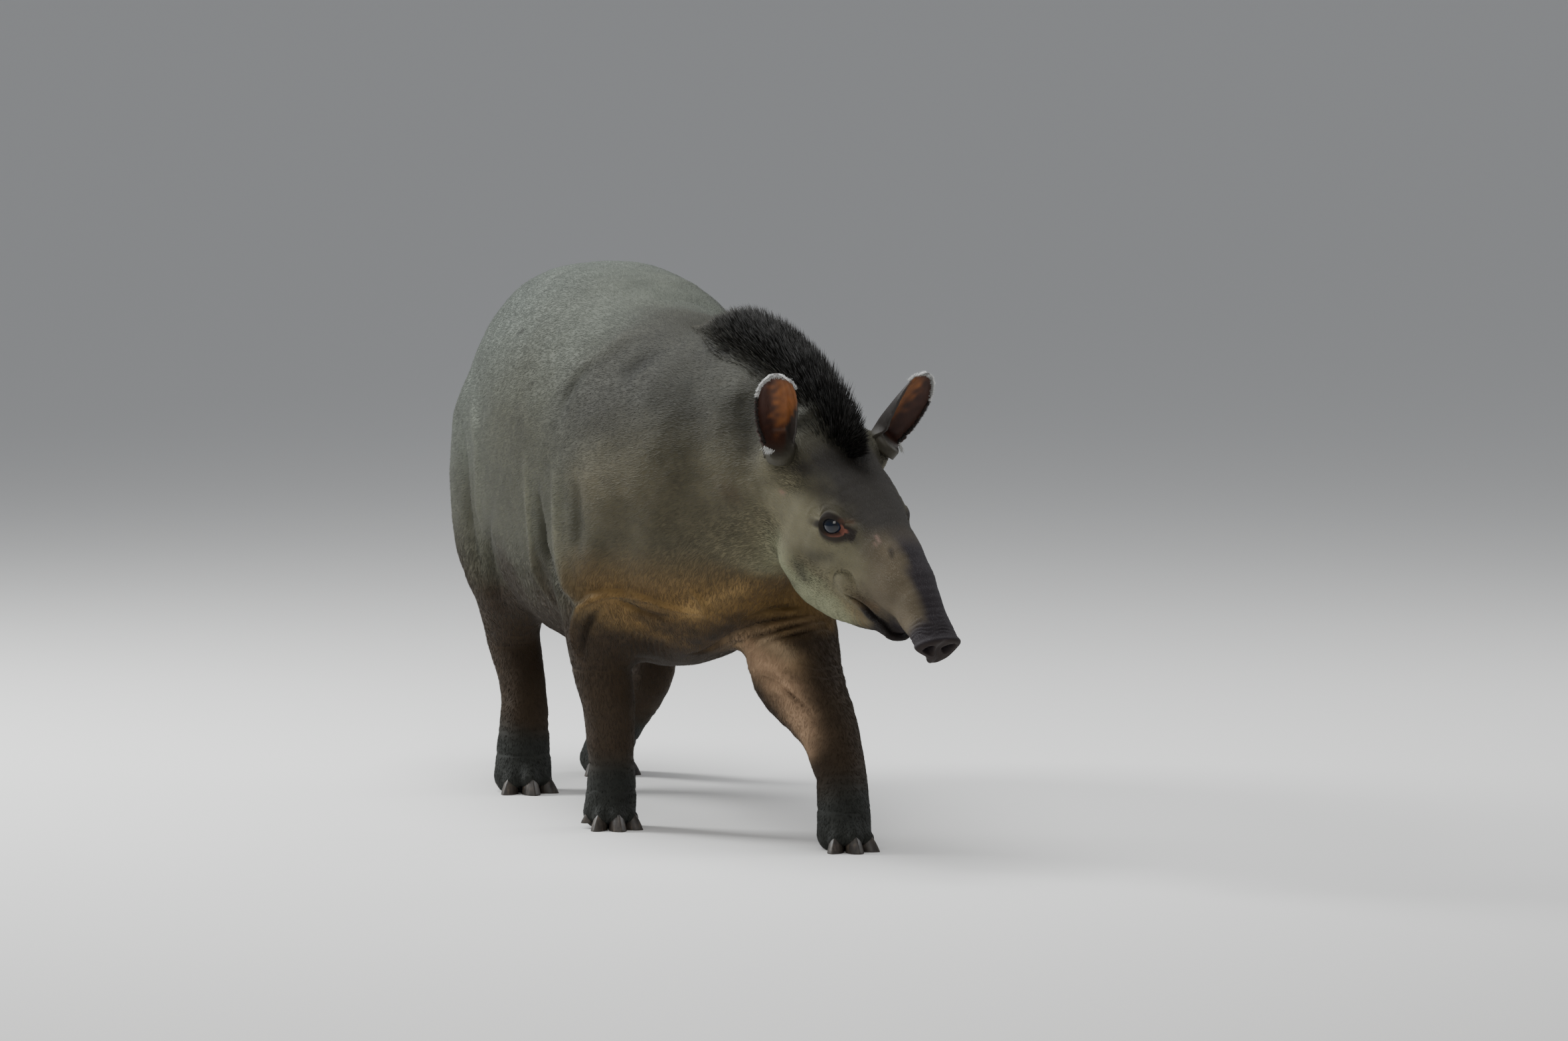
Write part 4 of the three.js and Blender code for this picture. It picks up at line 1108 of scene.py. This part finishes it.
# Hair
def blades(name, spines, sideways, upwards, half, thick, uvs, tones):
    """One mesh of three-sided tapered blades.

    spines is (blades, sections, 3) in m, with the tip last; half and thick are the blades' size at each section.
    """
    count, sections = spines.shape[:2]
    rings = sections - 1
    w = sideways[:, None, :] * half[:, :rings, None]
    h = upwards[:, None, :] * thick[:, :rings, None]
    body = spines[:, :rings]
    ring_points = np.stack([body + w, body - w, body + h], axis=2).reshape(count, rings * 3, 3)
    verts = np.concatenate([ring_points, spines[:, -1:]], axis=1)
    per = rings * 3 + 1
    sides = [(0, 1), (1, 2), (2, 0)]
    quads = [[r + a, r + b, r + b + 3, r + a + 3] for r in range(0, per - 4, 3) for a, b in sides]
    tris = [[per - 4 + a, per - 4 + b, per - 1] for a, b in sides]
    start = (np.arange(count) * per)[:, None, None]
    quad_loops = (np.array(quads, int).reshape(1, -1, 4) + start).reshape(-1)
    tri_loops = (np.array(tris, int)[None] + start).reshape(-1)
    loops = np.concatenate([quad_loops, tri_loops])
    sizes = np.concatenate([np.full(len(quad_loops) // 4, 4), np.full(len(tri_loops) // 3, 3)])
    mesh = bpy.data.meshes.new(name)
    mesh.vertices.add(count * per)
    mesh.vertices.foreach_set("co", verts.astype(np.float32).ravel())
    mesh.loops.add(len(loops))
    mesh.loops.foreach_set("vertex_index", loops.astype(np.int32))
    mesh.polygons.add(len(sizes))
    mesh.polygons.foreach_set("loop_start", np.concatenate([[0], np.cumsum(sizes)[:-1]]).astype(np.int32))
    mesh.update(calc_edges=True)
    # Each blade has a small triangle of the map, at the place of its root
    corners = np.tile([[0.0, 0.0], [0.0026, 0.0], [0.0013, 0.0013]], (rings, 1))
    climb = np.repeat(np.arange(rings) / rings, 3)[:, None] * [0, 0.0018]
    local = np.concatenate([corners + climb, [[0.0013, 0.0026]]])
    vert_uv = (uvs[:, None, :] + local[None]).reshape(-1, 2)
    uv = mesh.uv_layers.new(name="OFBake")
    uv.data.foreach_set("uv", vert_uv[loops].astype(np.float32).ravel())
    paint(mesh, np.concatenate([np.repeat(tones[:, :rings], 3, axis=1), tones[:, -1:]], axis=1).reshape(-1, 3))
    obj = new_object(name, mesh=mesh)
    smooth(obj)
    return obj


def skin_unwrap(obj):
    """A flat map of the skin's own shape."""
    bpy.context.view_layer.objects.active = obj
    obj.select_set(True)
    bpy.ops.object.mode_set(mode="EDIT")
    bpy.ops.mesh.select_all(action="SELECT")
    bpy.ops.uv.smart_project(angle_limit=math.radians(75), island_margin=0.003)
    bpy.ops.object.mode_set(mode="OBJECT")
    obj.data.uv_layers[0].name = "OFBake"


def scattered(mesh, tones, density, seed):
    """Random roots over the skin: place in mm, normal, map place and tone; density is per square metre."""
    mesh.calc_loop_triangles()
    tri = read(mesh.loop_triangles, "vertices", 3)
    loop = read(mesh.loop_triangles, "loops", 3)
    uv = read(mesh.uv_layers["OFBake"].data, "uv", 2, np.float32)
    p, n = places(mesh), normals(mesh)
    corners = p[tri]
    area = np.linalg.norm(np.cross(corners[:, 1] - corners[:, 0], corners[:, 2] - corners[:, 0]), axis=1) / 2
    draw = np.random.default_rng(seed)
    count = draw.poisson(area * density(to_mm(corners.mean(1)), unit(n[tri].mean(1))))
    which = np.repeat(np.arange(len(tri)), count)
    a, b = draw.random(len(which)), draw.random(len(which))
    flip = a + b > 1
    a[flip], b[flip] = 1 - a[flip], 1 - b[flip]
    weight = np.stack([1 - a - b, a, b], 1)[:, :, None]

    def between(values, of):
        return (values[of[which]] * weight).sum(1)

    return to_mm(between(p, tri)), unit(between(n, tri)), between(uv, loop), between(tones, tri), draw


def lie_of_coat(p, n):
    """The way the hair points at each place, along the skin."""
    way = filled(np.array([-1.0, 0, -0.3]), len(p))
    low = ease(560, 420, p[:, 2])[:, None]
    way = way * (1 - low) + np.array([-0.12, 0, -1.0]) * low
    head = on_head(p, -60, 60)[:, None]
    way = way * (1 - head) + (-HEAD.forward + HEAD.up * -0.25) * head
    way = way - n * (way * n).sum(1)[:, None]
    return unit(way)


COAT_PER_METRE = 98000


def coat_density(p, n):
    """Hairs per square metre: most on the head, none under the mane, in the eyes and nostrils or on the soles."""
    f, _, _ = HEAD.local(p)
    share, off, apart = crest_side(p)
    under_mane = (np.abs(off) < 26) & (apart < 60) & (p[:, 2] > 560) & (n[:, 2] > 0.2)
    under_mane &= (share > 0.35) & (share < 0.9)
    bare = (lid_opening(p) > -6) & (distance_to(p, EYE_AT.values()) < 45)
    at, facing = snout_end()
    end = (f > 380) & ((p - at) @ facing > -4) & (p[:, 2] > 300)
    sole = p[:, 2] < 4
    return np.where(under_mane | bare | end | sole, 0, COAT_PER_METRE * (1 + 1.3 * on_head(p, -40, 60)))


MOST_IN_A_PIECE = 66000


def make_coat(mesh, skin_tone):
    """Short flat-lying hair over the whole skin, in pieces by region."""
    p, n, uv, base, draw = scattered(mesh, skin_tone, coat_density, 5)
    count = len(p)
    x, _, z = p.T
    face = on_head(p, -30, 110)
    feet = ease(330, 120, z)
    length = 10 - 5.2 * np.maximum(face, 0.7 * feet) - 1.4 * ease(200, 420, HEAD.local(p)[0]) * face
    length = length * draw.uniform(0.75, 1.25, count)
    wide = (0.78 - 0.3 * np.maximum(face, 0.6 * feet)) * draw.uniform(0.8, 1.2, count)
    way = lie_of_coat(p, n)
    way = unit(way + np.cross(n, way) * draw.normal(0, 0.20, count)[:, None])
    across = np.cross(n, way)
    rise = np.radians(draw.uniform(4, 11, count))[:, None]
    tip = p + (way * np.cos(rise) + n * np.sin(rise)) * length[:, None]
    root = p - n * 0.25
    root[:, 2], tip[:, 2] = np.maximum(root[:, 2], 1), np.maximum(tip[:, 2], 1.2)
    spines = np.stack([to_m(root), to_m(tip)], 1)
    lit = draw.uniform(0.93, 1.07, count)[:, None]
    # Each hair takes the skin's colour at its root, painted sheen, shade and highlights included
    tones = np.stack([base * 0.94 * lit, base * 1.04 * lit], 1)
    half = np.stack([wide, wide], 1) / 1000
    right = p[:, 1] < 12
    # A hair belongs to the first region it lies in
    regions = {
        "coat_foreleg_right": (z < 440) & (x > 0) & right,
        "coat_foreleg_left": (z < 440) & (x > 0),
        "coat_hindlegs": z < 440,
        "coat_head": face > 0.02,
        "coat_neck": x > 400,
        "coat_shoulders_right": (x > 100) & right,
        "coat_shoulders_left": x > 100,
        "coat_barrel_right": (x > -240) & right,
        "coat_barrel_left": x > -240,
        "coat_rump_right": right,
        "coat_rump_left": ~right,
    }
    free = np.ones(count, bool)
    made = []
    for name, where in regions.items():
        who = np.flatnonzero(free & where)[:MOST_IN_A_PIECE]
        free &= ~where
        made.append(blades(
            name, spines[who], across[who], n[who], half[who], half[who] * 0.35, uv[who], tones[who]))
    return made


MANE_LOCKS = 13000


def mane_half(share):
    """How far the crest's hair reaches to each side: narrow on the forehead, where it ends in a point."""
    return 14 + 42 * ease(0.06, 0.46, share) - 44 * ease(0.80, 1.0, share) ** 1.5


def mane_height(share):
    """How tall the crest's hair stands: it rises slowly out of the withers."""
    return 7 + 57 * ease(0.05, 0.52, share) - 26 * ease(0.82, 1.0, share)


def make_mane(tree, skin_uv):
    """Upright locks along the crest, tallest in the middle, that lean outwards and back at the edges."""
    draw = np.random.default_rng(17)
    share = 0.03 + 0.97 * draw.random(MANE_LOCKS) ** 0.82
    off = np.clip(draw.normal(0, 0.50, MANE_LOCKS), -1.15, 1.15) * mane_half(share)
    lengths = np.linalg.norm(np.diff(CREST_POINTS, axis=0), axis=1)
    ends = np.concatenate([[0], np.cumsum(lengths)]) / lengths.sum()

    def on_crest(shares):
        return np.stack([np.interp(shares, ends, CREST_POINTS[:, j]) for j in range(3)], 1)

    along = unit(on_crest(np.minimum(share + 0.01, 1)) - on_crest(np.maximum(share - 0.01, 0)))
    upward = unit(np.array([0, 0, 1.0]) - along * along[:, 2:])
    across = np.cross(upward, along)
    above = on_crest(share) + across * off[:, None] + upward * 420
    rays = [tree.ray_cast(Vector(to_m(a)), Vector(-up))[:3] for a, up in zip(above, upward)]
    keep = np.array([i for i, (hit, _, _) in enumerate(rays) if hit is not None])
    hits = [(to_mm(rays[i][0]), skin_uv[rays[i][2]], rays[i][1]) for i in keep]
    roots, uvs, facing = (np.array(v) for v in zip(*hits))
    share, off, along, upward, across = (v[keep] for v in (share, off, along, upward, across))
    count = len(keep)
    edge = np.clip(np.abs(off) / mane_half(share), 0, 1.15)
    height = mane_height(share) * (1 - 0.72 * ease(0.25, 1.1, edge)) * draw.uniform(0.72, 1.08, count)
    height = np.maximum(height, 8)
    lean = np.radians(np.sign(off) * edge * 46 + draw.normal(0, 7, count))[:, None]
    upright = upward * np.cos(lean) + across * np.sin(lean)
    lying = (ease(0.45, 1.1, edge) * 0.55)[:, None]
    upright = unit(upright * (1 - lying) + facing * lying)
    front = ease(0.86, 1.0, share)
    back = draw.uniform(0.02, 0.3, count) + 1.5 * ease(0.4, 0, share) + 0.8 * ease(0.5, 1.1, edge) - 0.75 * front
    spines = []
    for t in (0, 0.4, 0.75, 1.0):
        rise = (height * t)[:, None]
        slope = back[:, None] + (0.22 - 0.3 * front[:, None]) * t
        spines.append(roots - upright * 1.5 + upright * rise * (1 - 0.06 * t) - along * rise * slope)
    length = np.linalg.norm(spines[3] - spines[0], axis=1)
    squeeze = np.minimum(1, (height + 1.5) * 1.06 / length)[:, None]
    spines = np.stack([to_m(spines[0] + (s - spines[0]) * squeeze) for s in spines], 1)
    turn = draw.uniform(-0.9, 0.9, count)[:, None]
    sideways = unit(along * np.cos(turn) + across * np.sin(turn))
    half = draw.uniform(0.6, 1.2, count)[:, None] / 1000 * np.array([[1, 0.95, 0.6, 0]])
    dark = ease(0.08, 0.50, share) ** 0.8 * ease(1.15, 0.55, edge + draw.uniform(-0.2, 0.2, count)) + 0.25 * front
    base = mixed(filled(UPPER_NECK * 1.2, count), CREST_DARK, dark) * draw.uniform(0.6, 1.5, count)[:, None]
    tones = np.stack([base * 0.7, base * 0.9, base * 1.05, base * 1.25], 1)
    return blades("mane", spines, sideways, unit(np.cross(upright, sideways)), half, half * 0.5, uvs, tones)


FRINGE_HAIRS, TUFT_HAIRS = 2600, 90


def make_ear_hair(side, name, tree, skin_uv):
    """White fringe round an ear's top, a ragged dark outer edge, and the small white tuft of the lower notch."""
    draw = np.random.default_rng(40 + side)
    root, along, opening, across = ear_axes(side)
    rim_t = np.linspace(0.02, 0.985, 160)
    half, _ = ear_size(rim_t)
    slope = np.gradient(half, rim_t * EAR_LENGTH)
    outward = -side
    spots = []
    for way in (outward, -outward):
        for t, h, lean in zip(rim_t, half, slope):
            white = t > (0.70 if way == outward else 0.80)
            if way == outward or white:
                facing = unit(across * way - along * lean)
                spot = root + along * t * EAR_LENGTH + across * way * h - facing * 7
                spots.append((spot, facing, white, 4.5 if white else 3.5))
    for c in np.linspace(-1, 1, 14):
        spots.append((root + along * 0.955 * EAR_LENGTH + across * c * half[-1], along, True, 5))
    where, ways, whites, tall = (np.array(v, float) for v in zip(*spots))
    which = draw.integers(0, len(spots), FRINGE_HAIRS)
    count = FRINGE_HAIRS + TUFT_HAIRS
    fringe_at = where[which] + draw.normal(0, 1.3, (FRINGE_HAIRS, 3))
    tuft_at = filled(root + along * 5 + across * outward * 19 + opening * 21, TUFT_HAIRS)
    tuft_at = tuft_at + draw.normal(0, 1, (TUFT_HAIRS, 1)) * (across * 4 + along * 2)
    at = np.concatenate([fringe_at, tuft_at + draw.normal(0, 1.2, (TUFT_HAIRS, 3))])
    tuft_way = filled(-along * 0.7 + across * outward * 0.5 + opening * 0.5, TUFT_HAIRS)
    facing = unit(np.concatenate([ways[which], tuft_way]) + draw.normal(0, 0.30, (count, 3)))
    white = np.concatenate([whites[which], np.ones(TUFT_HAIRS)])
    tall = np.concatenate([tall[which], np.full(TUFT_HAIRS, 11.0)]) * draw.uniform(0.6, 1.2, count)
    spines = np.stack([to_m(at - facing), to_m(at + facing * tall[:, None])], 1)
    sideways = unit(np.cross(facing, opening + draw.normal(0, 0.3, (count, 3))))
    half_wide = np.repeat(draw.uniform(0.35, 0.6, count)[:, None], 2, 1) / 1000
    tone = mixed(filled(EAR_BACK, count), EAR_WHITE, white) * draw.uniform(0.75, 1.2, count)[:, None]
    uvs = skin_uv[[tree.find_nearest(Vector(to_m(p)))[2] for p in at]]
    return blades(name, spines, sideways, np.cross(facing, sideways), half_wide, half_wide * 0.6, uvs,
                  np.stack([tone * 0.8, tone], 1))


# Materials
class Value:
    """A shader socket that takes part in sums."""

    def __init__(self, shader, socket):
        self.shader, self.socket = shader, socket

    def __add__(self, other):
        return self.shader.node("ShaderNodeMath", {"operation": "ADD"}, {0: self, 1: other})

    def __mul__(self, other):
        return self.shader.node("ShaderNodeMath", {"operation": "MULTIPLY"}, {0: self, 1: other})

    __radd__, __rmul__ = __add__, __mul__


class Shader:
    """One material, and the one way its nodes are made."""

    def __init__(self, name):
        self.material = bpy.data.materials.new(name)
        self.material.use_nodes = True
        self.tree = self.material.node_tree
        self.surface = next(n for n in self.tree.nodes if n.type == "BSDF_PRINCIPLED")

    def feed(self, socket, value):
        if isinstance(value, Value):
            self.tree.links.new(value.socket, socket)
        else:
            socket.default_value = value

    def node(self, kind, settings=None, inputs=None, output=0):
        made = self.tree.nodes.new(kind)
        for key, value in (settings or {}).items():
            if key == "stops":
                ramp = made.color_ramp
                while len(ramp.elements) > 1:
                    ramp.elements.remove(ramp.elements[-1])
                for i, (at, colour) in enumerate(value):
                    stop = ramp.elements[0] if i == 0 else ramp.elements.new(at)
                    stop.position, stop.color = at, (*colour, 1)
            else:
                setattr(made, key, value)
        for key, value in (inputs or {}).items():
            self.feed(made.inputs[key], value)
        return Value(self, made.outputs[output])

    def set(self, **inputs):
        """Sockets of the surface, with _ for each space of their names."""
        for key, value in inputs.items():
            self.feed(self.surface.inputs[key.replace("_", " ")], value)

    def noise(self, scale, detail, stretch=(1, 1, 1)):
        at = self.node("ShaderNodeTexCoord", output="Object")
        at = self.node("ShaderNodeMapping", {}, {"Vector": at, "Scale": stretch})
        return self.node("ShaderNodeTexNoise", {}, {
            "Vector": at, "Scale": scale, "Detail": detail, "Roughness": 0.55})

    def tone(self, amount):
        """The painted colour, made lighter or darker by a value."""
        painted = self.node("ShaderNodeAttribute", {"attribute_name": "tone"}, output="Color")
        return self.node("ShaderNodeVectorMath", {"operation": "SCALE"}, {0: painted, "Scale": amount})

    def bump(self, height, strength, distance, **under):
        return self.node("ShaderNodeBump", {}, {
            "Height": height, "Strength": strength, "Distance": distance, **under})


def coat_finish():
    shader = Shader("coat")
    cloud = shader.noise(16, 4)
    grain = shader.noise(620, 2, stretch=(0.35, 1, 1))
    hair = shader.bump(grain, 0.35, 0.0008)
    shader.set(Base_Color=shader.tone(cloud * 0.3 + grain * 0.2 + 0.75), Roughness=shader.noise(30, 3) * 0.16 + 0.62,
               Specular_IOR_Level=0.16, Normal=shader.bump(shader.noise(38, 4), 0.12, 0.003, Normal=hair))
    return shader.material


def hair_finish(name, sheen, rough):
    shader = Shader(name)
    shader.set(Base_Color=shader.tone(shader.noise(24, 3) * 0.3 + 0.85), Roughness=rough,
               Sheen_Weight=sheen, Specular_IOR_Level=0.09)
    return shader.material


def ear_finish():
    shader = Shader("ear_skin")
    veins = shader.noise(120, 4, stretch=(1, 1, 0.35))
    shader.set(Base_Color=shader.tone(veins * 0.5 + 0.75), Roughness=0.6, Normal=shader.bump(veins, 0.5, 0.002),
               Specular_IOR_Level=0.35)
    return shader.material


def eye_finish():
    shader = Shader("eye_gloss")
    shader.set(Base_Color=shader.tone(shader.noise(900, 2) * 0.5 + 0.75), Roughness=0.06,
               Coat_Weight=0.12, Coat_Roughness=0.03, Specular_IOR_Level=0.3)
    return shader.material


def horn_finish():
    shader = Shader("hoof_horn")
    streaks = shader.noise(160, 4, stretch=(1, 1, 0.12))
    rings = shader.noise(90, 3, stretch=(0.2, 0.2, 1))
    stops = [(0.30, (0.012, 0.010, 0.009)), (0.55, (0.045, 0.036, 0.028)), (0.75, (0.120, 0.090, 0.062))]
    shader.set(
        Base_Color=shader.node("ShaderNodeValToRGB", {"stops": stops}, {"Fac": streaks * 0.7 + rings * 0.3}),
        Roughness=streaks * 0.3 + 0.35,
        Normal=shader.bump(rings, 0.4, 0.0015, Normal=shader.bump(streaks, 0.3, 0.001)))
    return shader.material


def floor_finish():
    shader = Shader("pale_floor")
    shader.set(Base_Color=(0.80, 0.785, 0.76, 1), Roughness=0.9)
    return shader.material


def make_eye(side, name):
    """The ball, bulging a little over the pupil, with its rings of colour round the way it looks."""
    ball = bmesh.new()
    bmesh.ops.create_uvsphere(ball, u_segments=48, v_segments=32, radius=1)
    angles = []
    for v in ball.verts:
        angle = math.degrees(math.acos(max(-1, min(1, v.co.z))))
        angles.append(angle)
        v.co *= (EYE_RADIUS - 0.9 + 0.6 * math.exp(-(angle / 26) ** 2)) / 1000
    turn = Matrix([*zip(*eye_axes(side))]).to_4x4()
    bmesh.ops.transform(ball, matrix=Matrix.Translation(to_m(EYE_AT[side])) @ turn, verts=ball.verts[:])
    bmesh.ops.recalc_face_normals(ball, faces=ball.faces[:])
    obj = new_object(name, ball)
    # The blue of the pupil and of its outer ring is partly a painted reflection of the sky
    colour = filled(PUPIL_BLUE_AND_REFLECTION, len(angles))
    for tone, start, end in ((IRIS_DARK, 20, 27), (PUPIL_BLUE_AND_REFLECTION * 2, 40, 46), (EYE_WHITE, 50, 58)):
        colour = mixed(colour, tone, ease(start, end, angles))
    paint(obj.data, colour)
    smooth(obj)
    return obj


def make_hoof(node):
    """The solid's own hoof, with its corners rounded off and its edges kept fairly crisp."""
    bm = bmesh.new()
    bm.from_mesh(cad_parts[node].data)
    bmesh.ops.remove_doubles(bm, verts=bm.verts[:], dist=1e-6)
    bmesh.ops.join_triangles(bm, faces=bm.faces[:], angle_face_threshold=0.5, angle_shape_threshold=1.2)
    crease = bm.edges.layers.float.get("crease_edge") or bm.edges.layers.float.new("crease_edge")
    for e in bm.edges:
        if len(e.link_faces) == 2 and e.calc_face_angle(0) > 0.9:
            e[crease] = 0.75
    obj = new_object(node.replace("hoof_", "horn_"), bm)
    rounder = obj.modifiers.new("round", "SUBSURF")
    rounder.levels = rounder.render_levels = 3
    smooth(obj)
    return obj


def dress(obj, material, slot, *nodes):
    """The piece's finish and body, and the nodes it stands in for; slot is not used."""
    obj.data.materials.clear()
    obj.data.materials.append(material)
    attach(obj, ROOT)
    if nodes:
        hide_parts(*nodes)


def soft_lamp(name, at, towards, size, power, colour):
    lamp = bpy.data.objects.new(name, bpy.data.lights.new(name, "AREA"))
    lamp.data.size, lamp.data.energy, lamp.data.color = size, power, colour
    lamp.location = at
    lamp.rotation_mode = "QUATERNION"
    lamp.rotation_quaternion = (Vector(towards) - Vector(at)).to_track_quat("-Z", "Y")
    bpy.context.scene.collection.objects.link(lamp)


FLESH_NODES = ["torso", "tail", "neck", "head", "snout", "lower_jaw",
               "foreleg_right", "foreleg_left", "hindleg_right", "hindleg_left"]

make_camera()
skin = skin_form()
refine_skin(skin.data)
bare_tree = tree_of(skin.data)
relief = skin_folds(skin.data, bare_tree)
sculpt_mouth(skin.data, bare_tree)
sculpt_snout(skin.data)
sculpt_eyes(skin.data)
held_in(skin.data)
skin_unwrap(skin)
marks = [(seen(bare_tree, pixels), *mark) for pixels, *mark in MARKS]
skin_tone = markings(to_mm(places(skin.data)), normals(skin.data), [m for m in marks if len(m[0]) > 1])
# Painted shade in the folds' grooves and painted highlight on their ridges, from the folds' lift
skin_tone *= np.clip(1 + 0.03 * relief, 0.45, 1.5)[:, None]
paint(skin.data, skin_tone)
smooth(skin)
dress(skin, coat_finish(), "coat", *FLESH_NODES)

coat_hair = hair_finish("coat_hair", 0.03, 0.6)
for piece in make_coat(skin.data, skin_tone):
    dress(piece, coat_hair, "coat")

skin_tree = tree_of(skin.data)
corner_uv = read(skin.data.uv_layers["OFBake"].data, "uv", 2, np.float32)
skin_uv = corner_uv[read(skin.data.polygons, "loop_start")]
dress(make_mane(skin_tree, skin_uv), hair_finish("mane_hair", 0.02, 0.55), "coat")

ear_material = ear_finish()
eye_material = eye_finish()
for side, name in ((-1, "right"), (1, "left")):
    dress(make_ear(side, "ear_shell_" + name), ear_material, "ear_skin", "ear_" + name)
    dress(make_ear_hair(side, "ear_hair_" + name, skin_tree, skin_uv), coat_hair, "coat")
    dress(make_eye(side, "eye_ball_" + name), eye_material, "eye", "eye_" + name)
horn = horn_finish()
for node in sorted(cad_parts):
    if node.startswith("hoof_"):
        dress(make_hoof(node), horn, "hoof_horn", node)

floor_mesh = bmesh.new()
bmesh.ops.create_grid(floor_mesh, x_segments=2, y_segments=2, size=160)
floor = new_object("floor", floor_mesh)
floor.data.materials.append(floor_finish())

world = bpy.data.worlds.new("studio")
bpy.context.scene.world = world
world.use_nodes = True
world.node_tree.nodes["Background"].inputs["Color"].default_value = (0.9, 0.94, 1, 1)
world.node_tree.nodes["Background"].inputs["Strength"].default_value = 0.33

soft_lamp("overhead", (-0.3, -0.5, 3.8), (0, 0, 0.6), 2.2, 160, (0.95, 0.98, 1))
soft_lamp("behind", (-2.6, -3.0, 3.0), (0, 0, 0.6), 1.3, 235, (0.96, 0.99, 1))
soft_lamp("far", (-0.6, 4.2, 2.8), (0, 0, 0.6), 2.0, 60, (0.98, 0.99, 1))
soft_lamp("front", (4.6, -1.8, 2.6), (0.5, 0, 0.6), 1.8, 52, (1, 0.97, 0.92))
